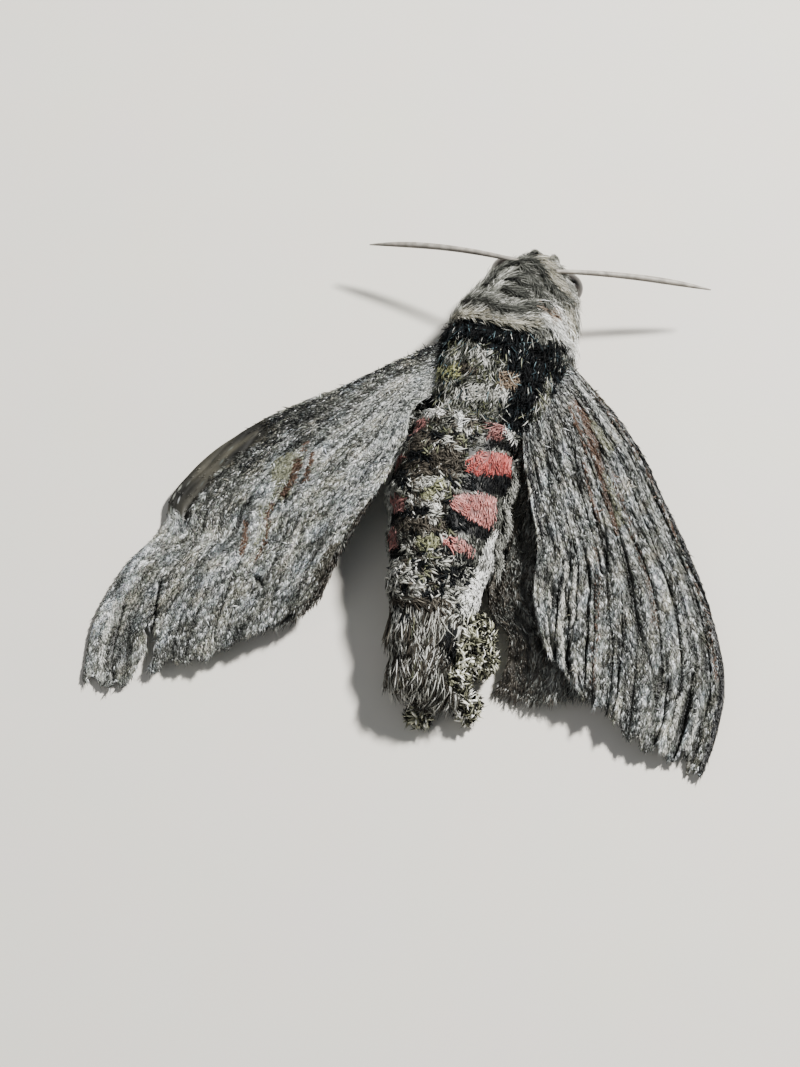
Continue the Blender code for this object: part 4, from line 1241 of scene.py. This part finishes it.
# Streaks: the spans and chords that each follows, half its width as a share of the span, colours
# and how closely they cover.
WING_STREAKS = {
    "left": (
        (((0.45, 0.4), (0.5, 0.44), (0.56, 0.5)), 0.016, WING_OLIVE, 0.55),
        (((0.47, 0.36), (0.51, 0.41)), 0.018, WING_OLIVE, 0.8),
        (((0.6, 0.48), (0.7, 0.53)), 0.012, WING_OLIVE, 0.4),
        (((0.46, 0.43), (0.5, 0.47), (0.53, 0.495), (0.56, 0.505)), 0.007, WING_BROWN, 0.9),
        (((0.43, 0.46), (0.46, 0.5), (0.51, 0.55)), 0.005, WING_BROWN, 1.0),
        (((0.59, 0.485), (0.64, 0.52), (0.7, 0.555), (0.76, 0.575)), 0.004, WING_BROWN, 0.75),
        (((0.64, 0.41), (0.7, 0.455), (0.74, 0.48)), 0.0045, WING_BROWN, 0.9),
        (((0.41, 0.36), (0.43, 0.4)), 0.008, WING_BROWN, 0.5),
        (((0.76, 0.975), (0.92, 0.985)), 0.012, STRIP_BROWN, 0.95),
        (((0.42, 0.48), (0.44, 0.49)), 0.006, FUR_PALE, 0.9),
        (((0.355, 0.27), (0.365, 0.285)), 0.006, FUR_PALE, 0.9),
        (((0.12, 0.02), (0.3, 0.04), (0.42, 0.05)), 0.008, FUR_BLACK, 0.65),
        (((0.0, 0.4), (0.05, 0.5)), 0.035, FUR_BLACK, 0.5),
        (((0.0, 0.02), (0.07, 0.06)), 0.03, FUR_BLACK, 0.7),
        (((0.49, 0.16), (0.56, 0.2), (0.63, 0.25)), 0.03, WING_DARK, 0.55),
        (((0.1, 0.22), (0.24, 0.24), (0.38, 0.23)), 0.012, WING_DARK, 0.6),
        (((0.34, 0.13), (0.42, 0.16), (0.5, 0.2)), 0.02, FUR_BLACK, 0.5),
        (((0.33, 0.26), (0.4, 0.29), (0.44, 0.34)), 0.012, FUR_BLACK, 0.5),
        (((0.56, 0.24), (0.6, 0.3), (0.62, 0.33)), 0.012, WING_DARK, 0.6),
        (((0.66, 0.16), (0.74, 0.2), (0.8, 0.22)), 0.01, WING_DARK, 0.6),
        # Vein lines: painted highlights in glint white, each beside a dark line of painted shade.
        (((0.14, 0.49), (0.3, 0.5), (0.44, 0.52)), 0.003, WING_DARK, 0.8),
        (((0.14, 0.52), (0.3, 0.53), (0.44, 0.55)), 0.0034, WING_GLINT, 0.9),
        (((0.12, 0.69), (0.3, 0.715), (0.46, 0.72)), 0.003, WING_DARK, 0.8),
        (((0.12, 0.72), (0.3, 0.745), (0.46, 0.75)), 0.0034, WING_GLINT, 0.9),
        (((0.2, 0.3), (0.32, 0.32), (0.42, 0.36)), 0.004, WING_DARK, 0.7),
        (((0.6, 0.28), (0.72, 0.32), (0.84, 0.35)), 0.006, WING_DARK, 0.6),
        (((0.55, 0.66), (0.68, 0.68), (0.8, 0.71)), 0.005, WING_DARK, 0.6),
        (((0.62, 0.86), (0.76, 0.88), (0.9, 0.9)), 0.006, WING_DARK, 0.6),
        (((0.85, 0.04), (0.93, 0.06), (0.99, 0.07)), 0.004, FUR_PALE, 0.6),
        (((0.97, 0.3), (0.975, 0.42)), 0.014, WING_DARK, 0.7),
    ),
    "right": (
        (((0.14, 0.29), (0.2, 0.31), (0.25, 0.345), (0.33, 0.385)), 0.015, WING_BROWN, 0.85),
        (((0.33, 0.385), (0.43, 0.41), (0.48, 0.42)), 0.009, WING_BROWN, 0.85),
        (((0.14, 0.38), (0.22, 0.41), (0.27, 0.44)), 0.005, WING_BROWN, 0.8),
        (((0.2, 0.25), (0.26, 0.235)), 0.014, WING_OLIVE, 0.8),
        (((0.34, 0.35), (0.46, 0.37)), 0.011, WING_OLIVE, 0.6),
        (((0.3, 0.5), (0.36, 0.52), (0.46, 0.53)), 0.005, WING_BROWN, 0.8),
        (((0.1, 0.05), (0.3, 0.035), (0.55, 0.035), (0.8, 0.04)), 0.005, WING_BROWN, 0.35),
        (((0.1, 0.14), (0.3, 0.125), (0.5, 0.12)), 0.006, WING_PALE, 0.75),
        (((0.18, 0.004), (0.46, 0.004), (0.75, 0.004), (0.99, 0.01)), 0.008, FUR_BLACK, 0.9),
        (((0.3, 0.3), (0.5, 0.31), (0.7, 0.32)), 0.006, WING_BROWN, 0.35),
        (((0.55, 0.62), (0.75, 0.64), (0.95, 0.66)), 0.006, WING_BROWN, 0.3),
        (((0.62, 0.815), (0.8, 0.835), (0.98, 0.855)), 0.004, FUR_PALE, 0.85),
        (((0.66, 0.89), (0.82, 0.915), (0.98, 0.94)), 0.004, FUR_PALE, 0.85),
        (((0.6, 0.765), (0.74, 0.77), (0.86, 0.775)), 0.003, FUR_PALE, 0.7),
        (((0.86, 0.2), (0.99, 0.215)), 0.004, FUR_PALE, 0.75),
        (((0.9, 0.11), (0.99, 0.12)), 0.004, FUR_PALE, 0.6),
        (((0.1, 0.95), (0.34, 0.965), (0.55, 0.96)), 0.007, FUR_BLACK, 0.9),
    ),
}


# Where the left wing's bald strip begins and ends along the span.
STRIP_SPAN = (0.4, 0.64)
# How light the scales are, and how much the vein threads vary them.
WING_LEVEL = {"left": (0.5, 0.2), "right": (0.27, 0.26)}


def strip_edge(span):
    """How far back from the front edge the left wing's bald strip reaches."""
    return 0.1 + 0.02 * on_wing(span, 0 * span, 24, 0, 69)


def wing_tint(side, span, chord, place, random):
    """The colour of each scale by where it shows on the wing."""
    count = len(span)
    level, thread_share = WING_LEVEL[side]
    painted_relief_shading = relief(side, span, chord)[1]
    # The tone comes from painted light and shade on the relief, from threads along the veins and from finer
    # worn patterns.
    threads = on_wing(span, chord, 6, 75, 61)
    squiggles = on_wing(span, chord, 40, 100, 66)
    tone = (level + 0.08 * random.normal(size=count) + 0.26 * painted_relief_shading + thread_share * threads
            + 0.1 * on_wing(span, chord, 18, 150, 63) + 0.1 * squiggles
            + 0.07 * ripple(place, 0.6, 64) + 0.12 * on_wing(span, chord, 8, 16, 62))
    if side == "left":
        tone = tone - 0.14 * portion((span - 0.72) * 5) - 0.05 * within(np.abs(span - 0.5), 0.2)
    warmth = ripple(place, 3.0, 65)[:, None] * (0.07, 0.015, -0.09)
    colour = ramp(WING_GREY, tone) * (1 + warmth) * (1 + random.normal(size=(count, 3)) * 0.035)

    def lay(where, codes, strength=1.0, shift=0.0, contrast=1.0):
        """Turns the scales picked by where, which is 0 to 1, into the given colours."""
        paint(colour, where * strength, codes, 0.5 + contrast * (tone + shift - 0.5), random)

    # Painted highlights: glint-white scales on the crests.
    lay((squiggles > 0.4) * (painted_relief_shading > 0.1), WING_GLINT, 0.6)
    if side == "left":
        pale = portion(1.7 - span / 0.28) * portion(chord * 2.6 - 0.6)
        lay(pale, WING_PALE, 0.7, -0.06)
        dark = np.exp(-(((span - 0.33) / 0.15) ** 2) - ((chord - 0.1) / 0.2) ** 2)
        lay(dark, WING_DARK, 0.85)
        front_root = portion(1.4 - span / 0.17) * portion(1.8 - chord / 0.22)
        lay(front_root, WING_DARK, 0.85, -0.12)
        lay(portion((span - 0.72) * 3) * (threads > -0.2), WING_DARK, 0.55, 0.14)
        start, end = STRIP_SPAN
        strip = (span > start - 0.01) & (span < end + 0.005) & (chord < strip_edge(span) + 0.01)
    else:
        root = portion(1.3 - span / 0.3)
        lay(root * portion((chord - 0.45) * 3), WING_PALE, 0.35, -0.08)
        lay(root * (threads < 0.1), WING_DARK, 0.75)
        lay(portion((0.2 - np.abs(chord - 0.46)) * 8) * (threads > 0), WING_DARK, 0.5, 0.1)
        strip = chord < 0.02
    folds = 0.42 + 0.35 * on_wing(span, chord, 5, 75, 67) + 0.2 * on_wing(span, chord, 14, 40, 68)
    paint(colour, strip * 0.97, STRIP_BROWN, folds, random)
    # Painted shade: the deep creases are painted near-black along their middles.
    shaded_grooves = [(line, width * 0.6, FUR_BLACK, 0.9) for line, width, deep in CREASES[side] if deep > 0.2]
    for line, width, codes, cover in (*WING_STREAKS[side], *shaded_grooves):
        lay(within(line_distance(span, chord, line), width), codes, cover, contrast=0.5)
    return colour


# Dried wing membrane is thin horn: dull, and wrinkled along the veins.
membrane = tinted_material(
    "dried_wing_membrane", 2.5, 3.0, 0.65, 1.2, roughness=0.55, dents=0.5, depth=0.05)
# Wing scales are flat plates of chitin: worn, and glossier than the fur.
scale_plates = tinted_material("worn_wing_scales", 4, 2.0, 0.8, 1.2, roughness=0.38, gloss=0.55)

MEMBRANE = 0.12
# The middle of the left wing's tear, from the margin inwards, and half its width there.
TEAR = (
    (-25.5, -43.2, 1.3), (-25.2, -40.0, 0.75), (-25.1, -37.2, 0.35), (-25.3, -36.0, 0.5),
    (-25.7, -35.3, 0.75), (-25.9, -34.7, 0.3),
)
# The middle of each short slit, its length and width, and its turn clockwise in degrees.
SLITS = {
    "left": ((-25.8, -33.4, 2.4, 0.22, 12), (-16.8, -19.6, 1.3, 0.16, -32), (-17.6, -24.7, 1.4, 0.16, -30),
             (-20.1, -20.9, 0.8, 0.2, -40)),
    "right": ((28.4, -32.4, 2.6, 0.3, 4), (25.8, -27.3, 2.4, 0.18, 14)),
}


def slit_cutters(side):
    """Knife shapes that open the tear and the short slits: all are thin upright blades."""
    shape = bmesh.new()
    for x, y, length, width, turn in SLITS[side]:
        blade = bmesh.ops.create_cone(
            shape, cap_ends=True, segments=4, radius1=1.0, radius2=1.0, depth=12.0)["verts"]
        way = Vector((math.sin(math.radians(turn)), math.cos(math.radians(turn)), 0))
        turning = Vector((0, 1, 0)).rotation_difference(way).to_matrix()
        bmesh.ops.scale(shape, vec=(width / 2, length / 2, 1.0), verts=blade)
        bmesh.ops.rotate(shape, matrix=turning, verts=blade)
        bmesh.ops.translate(shape, vec=(x, y, 3.0), verts=blade)
    if side == "left":
        outline = [(x + half, y) for x, y, half in TEAR][::-1] + [(x - half, y) for x, y, half in TEAR]
        base = shape.faces.new([shape.verts.new((x, y, -2.0)) for x, y in outline])
        raised = bmesh.ops.extrude_face_region(shape, geom=[base])["geom"]
        raised = [item for item in raised if isinstance(item, bmesh.types.BMVert)]
        bmesh.ops.translate(shape, vec=(0, 0, 8.0), verts=raised)
    bmesh.ops.scale(shape, vec=(MM, MM, MM), verts=shape.verts)
    bmesh.ops.recalc_face_normals(shape, faces=shape.faces)
    return bare_object(shape_mesh(shape, "slits_" + side, rounded=False))


def in_slit(side, place):
    """Whether a root would stand in the tear or in a slit."""
    x, y, _ = place.T
    inside = np.zeros(len(place), bool)
    for slit_x, slit_y, length, width, turn in SLITS[side]:
        c, s = math.cos(math.radians(turn)), math.sin(math.radians(turn))
        dx, dy = x - slit_x, y - slit_y
        across, along = dx * c - dy * s, dx * s + dy * c
        inside |= np.abs(across) / (width / 2 + 0.05) + np.abs(along) / (length / 2) < 1
    if side == "left":
        middles, places_along, halves = np.array(TEAR).T
        off = np.abs(x - np.interp(y, places_along, middles))
        inside |= (off < np.interp(y, places_along, halves) + 0.05) & (y < places_along[-1])
    return inside


def bare_object(mesh):
    """An object that only lends its shape to another and is removed again."""
    made = bpy.data.objects.new(mesh.name, mesh)
    bpy.context.scene.collection.objects.link(made)
    return made


def membrane_object(name, grid, tint_at, cutter=None):
    """The bare sheet of a wing, thickened and cut, with its markings."""
    spans, chords = grid.shape[0] - 1, grid.shape[1] - 1
    shape = bmesh.new()
    bmesh.ops.create_grid(shape, x_segments=spans, y_segments=chords, size=0.5)
    for vertex in shape.verts:
        i, j = round((vertex.co.x + 0.5) * spans), round((vertex.co.y + 0.5) * chords)
        vertex.co = Vector(grid[i, j]) * MM
    sheet = bare_object(shape_mesh(shape, name + "_sheet"))
    wall = sheet.modifiers.new("wall", "SOLIDIFY")
    wall.thickness, wall.offset = MEMBRANE * MM, 0.0
    if cutter:
        cut = sheet.modifiers.new("cut", "BOOLEAN")
        cut.operation, cut.object = "DIFFERENCE", cutter
    bpy.context.view_layer.update()
    mesh = bpy.data.meshes.new_from_object(
        sheet.evaluated_get(bpy.context.evaluated_depsgraph_get()))
    bpy.data.objects.remove(sheet)
    if cutter:
        bpy.data.objects.remove(cutter)
    mesh.name = name
    settle(mesh, tint_at, size=1 / MM)
    mesh.shade_smooth()
    made = add_object(mesh, name, membrane)
    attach(made, "root")
    return made


def nearness_tree(places):
    """A tree that finds which of the places are nearest to another."""
    tree = kdtree.KDTree(len(places))
    for index, place in enumerate(places):
        tree.insert(place, index)
    tree.balance()
    return tree


# As for the body's coat.
WING_TRIES = 3


def wing_scales(name, grid, count, faces_up, tint_at, length, width, lift, jitter, seed, keep, stray=0.0):
    """Scales shingled over one face of a wing, tips towards its margin."""
    random = np.random.default_rng(seed)
    span, chord = random.random(count * WING_TRIES), random.random(count * WING_TRIES)
    place, normal, vein, area, reach = on_sheet(grid, span, chord)
    even = random.random(len(span)) < area / np.quantile(area, 0.98)
    chosen = np.flatnonzero(even & keep(span, chord, place))[:count]
    span, chord, place, normal, vein, reach = (
        item[chosen] for item in (span, chord, place, normal, vein, reach))
    count = len(span)
    if not faces_up:
        normal = -normal
    loose = jitter * (1.6 - span) * np.where(random.random(count) < stray, 6, 1)
    inner = np.clip(np.minimum(np.minimum(chord, 1 - chord) / 0.03, (1 - span) / 0.04), 0.15, 1)
    swing = (random.normal(size=count) * loose + 0.16 * ripple(place, 1.2, seed + 9)) * inner
    lie = turned(vein, np.cross(normal, vein), swing)
    long = length * (1 + 0.3 * random.normal(size=count)).clip(0.4, 1.9)
    long = np.minimum(long, 0.15 + (1 - span) * reach)
    wide = width * random.uniform(0.7, 1.4, count)
    up = np.radians(lift) * random.uniform(0.3, 1.8, count) * inner
    shown = np.minimum(span + 0.5 * long * np.cos(swing) / reach, 1)
    colour = tint_at(shown, chord, place, random)
    # The upper face takes the left half of the unwrap and the lower face the right half.
    patch = np.stack([0.01 + 0.47 * chord + (0 if faces_up else 0.5), 0.02 + 0.96 * span], 1)
    return coat(name, scale_plates, place + normal * MEMBRANE / 2, normal, lie, long, wide, up, colour,
                patch, rings=1, droop=0.6, curl=0.2, ridge=0.3, root_shade=0.6, seed=seed)


def margin_fringe(name, grid, count, longest, tint_at, seed, keep):
    """Frayed fringe-scales along a wing's outer margin, in ragged bunches."""
    random = np.random.default_rng(seed)
    chord, span = random.random(count), 1 - 0.02 * random.random(count)
    place, normal, vein = on_sheet(grid, span, chord)[:3]
    clear = keep(span, chord, place)
    chord, span, place, normal, vein = (item[clear] for item in (chord, span, place, normal, vein))
    count = len(span)
    bunch = np.clip(0.55 + 0.6 * ripple(chord[:, None], 0.03, seed + 1), 0.15, 1)
    swing = 0.16 * random.normal(size=count) + 0.4 * ripple(chord[:, None], 0.05, seed + 2)
    lie = turned(vein, np.cross(normal, vein), swing) * (1, 1, 0.4)
    return coat(
        name, scale_plates, place, normal, unit(lie), longest * bunch * random.uniform(0.5, 1, count),
        random.uniform(0.07, 0.15, count), random.uniform(0, 0.12, count),
        tint_at(span, chord, place, random), unwrap(chord, random.random(count)),
        rings=1, curl=0.15, root_shade=0.8, seed=seed + 3)


def all_over(span, chord, place):
    """Keeps every root."""
    return np.full(len(span), True)


def dress_wing(wing, grid, tint_at, bare_shade, bare_seed, upper, lower, fringe,
               keep=all_over, cutter=None, stray=0.0):
    """A wing's pieces: its sheet, the scales of both its faces and the fringe of its margin.

    Each face is given as count, length, width, lift in degrees, jitter in radians and seed of its
    scales, and the fringe as count, longest and seed.
    """
    spans, chords = grid.shape[0] - 1, grid.shape[1] - 1
    tree = nearness_tree(grid.reshape(-1, 3))

    def sheet_tint(places, _):
        """The tint of the nearest crossing of the grid to each place, darkened by bare_shade as painted
        shade under the scales.
        """
        hits = np.array([tree.find(place)[1] for place in places])
        span, chord = (hits // (chords + 1)) / spans, (hits % (chords + 1)) / chords
        return bare_shade * tint_at(span, chord, places, np.random.default_rng(bare_seed))

    count, *scale = upper
    under_count, *under_scale = lower
    fringe_count, longest, seed = fringe
    return (
        membrane_object(wing + "_membrane", grid, sheet_tint, cutter),
        wing_scales(wing + "_upper_scales", grid, count, True, tint_at, *scale, keep, stray),
        wing_scales(wing + "_lower_scales", grid, under_count, False, tint_at, *under_scale, keep),
        margin_fringe(wing + "_fringe", grid, fringe_count, longest, tint_at, seed, keep),
    )


# Steps along the span and the chord of each sheet's mesh, and the share of scales that stray.
FOREWING_STEPS = {"left": (110, 180), "right": (100, 210)}
STRAY = {"left": 0.1, "right": 0.06}
FOREWING_GRIDS = {}
for side in ("left", "right"):
    def forewing_place(span, chord, side=side):
        """Places on the sheet: arched, folded, and bitten ragged along its outer margin."""
        bitten = 0.004 + 0.012 * portion(ripple(chord[:, None], 0.07, 75) + 0.3)
        if side == "right":
            bitten = bitten + 0.02 * portion(ripple(chord[:, None], 0.16, 76))
        place = stretched(FOREWING_LINES[side], span * (1 - bitten), chord)
        place[:, 2] += CAMBER * np.sin(np.pi * span) * np.sin(np.pi * chord)
        place[:, 2] += relief(side, span, chord)[0]
        return place

    def off_strip(span, chord, place, side=side):
        """Keeps scales out of the slits, and nearly all of them off the bald strip."""
        start, end = STRIP_SPAN
        bare = (span > start) & (span < end) & (chord < strip_edge(span)) & (side == "left")
        return ~in_slit(side, place) & (~bare | (np.random.default_rng(5).random(len(span)) < 0.03))

    def forewing_tint(span, chord, place, random, side=side):
        """The markings of this side's wing."""
        return wing_tint(side, span, chord, place, random)

    FOREWING_GRIDS[side] = sheet_grid(forewing_place, *FOREWING_STEPS[side])
    number = len(side)
    for piece in dress_wing(
        "forewing_" + side, FOREWING_GRIDS[side], forewing_tint, bare_shade=0.62, bare_seed=71,
        upper=(33000, 0.7, 0.12, 1.6, 0.13, 500 + number), lower=(5000, 0.85, 0.2, 3, 0.2, 520 + number),
        fringe=(1100, 1.1, 540 + number), keep=off_strip, cutter=slit_cutters(side), stray=STRAY[side],
    ):
        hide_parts("forewing_" + side)

# ==== Hindwings ===================================================================================
# Smaller sheets folded away below the forewings, so that only their inner edges look out.
# Pale grey-brown above with two darker bands, and set with soft flat scales.

# Front edge, rear edge and outer margin of each, as seen from above.
HINDWING_LINES = {
    "left": (
        ((-4.8, -3.4), (-10.0, -9.0), (-16.0, -16.0), (-20.5, -24.0), (-20.8, -28.0)),
        ((-4.4, -7.0), (-7.4, -12.0), (-8.4, -17.0), (-9.6, -22.0), (-10.3, -27.2)),
        ((-18.4, -31.0), (-15.2, -32.0), (-12.6, -30.6)),
    ),
    "right": (
        ((4.6, -3.4), (10.0, -8.0), (16.0, -14.0), (20.5, -21.0), (21.0, -25.0)),
        ((3.8, -7.2), (5.4, -12.2), (5.2, -17.0), (4.9, -21.0), (5.9, -23.8), (8.5, -26.2),
         (9.0, -28.6), (8.7, -31.0)),
        ((18.6, -28.6), (15.4, -30.2), (12.4, -31.2)),
    ),
}
# How far below the forewing it hangs, how low it may lie, and how many of the forewing's places
# set its height.
HINDWING_DROP, HINDWING_LOWEST, NEIGHBOURS = 1.3, 0.3, 12
# Steps along the span and the chord of its mesh, and the spans of its dark bands.
HINDWING_STEPS, DARK_BANDS = (50, 70), (0.45, 0.72)
# How steeply it sinks where it reaches out from under the forewing, and from how far out.
HINDWING_SINK, SINK_START = 0.45, 0.6


def hindwing_tint(span, chord, place, random):
    """The colour of each scale: pale grey-brown with two dark bands, and dark brown at the rear edge,
    partly its own brown and partly painted shade under the forewing.
    """
    tone = (0.42 + 0.14 * random.normal(size=len(span)) + 0.2 * ripple(place, 1.2, 81)
            + 0.2 * on_wing(span, chord, 4, 40, 82))
    colour = ramp(WING_GREY, tone)
    paint(colour, np.clip(0.5 + 2.5 * (chord - 0.75), 0.3, 0.95), FUR_BROWN, tone, random)
    for at in DARK_BANDS:
        paint(colour, np.exp(-(((span - at) / 0.07) ** 2)) * 0.8, WING_DARK, tone, random)
    return colour


for side in ("left", "right"):
    # The forewing's places, and a tree of them as seen from above.
    roof = FOREWING_GRIDS[side][::4, ::4].reshape(-1, 3)
    tree = nearness_tree(roof * (1, 1, 0))

    def hindwing_place(span, chord, side=side, tree=tree, roof=roof):
        """Places on the sheet, which hangs crumpled just under the forewing."""
        place = np.column_stack([stretched(HINDWING_LINES[side], span, chord), 0 * span])
        for row in place:
            near = tree.find_n(row, NEIGHBOURS)
            weights = np.array([1 / (distance + 0.4) ** 2 for _, _, distance in near])
            heights = np.array([roof[index][2] for _, index, _ in near])
            sink = HINDWING_SINK * max(near[0][2] - SINK_START, 0)
            height = (weights * heights).sum() / weights.sum() - HINDWING_DROP - sink
            row[2] = max(height, HINDWING_LOWEST)
        crumple = 0.1 * on_wing(span, chord, 5, 12, 85) + 0.06 * on_wing(span, chord, 12, 30, 86)
        place[:, 2] += (0.06 * np.cos(2 * np.pi * 9 * chord) + crumple) * np.minimum(span * 3, 1)
        return place

    number = len(side)
    for piece in dress_wing(
        "hindwing_" + side, sheet_grid(hindwing_place, *HINDWING_STEPS), hindwing_tint, bare_shade=0.6,
        bare_seed=83, upper=(6500, 0.9, 0.14, 6, 0.35, 610 + number),
        lower=(3000, 0.9, 0.2, 4, 0.25, 620 + number), fringe=(900, 1.6, 630 + number),
    ):
        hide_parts("hindwing_" + side)
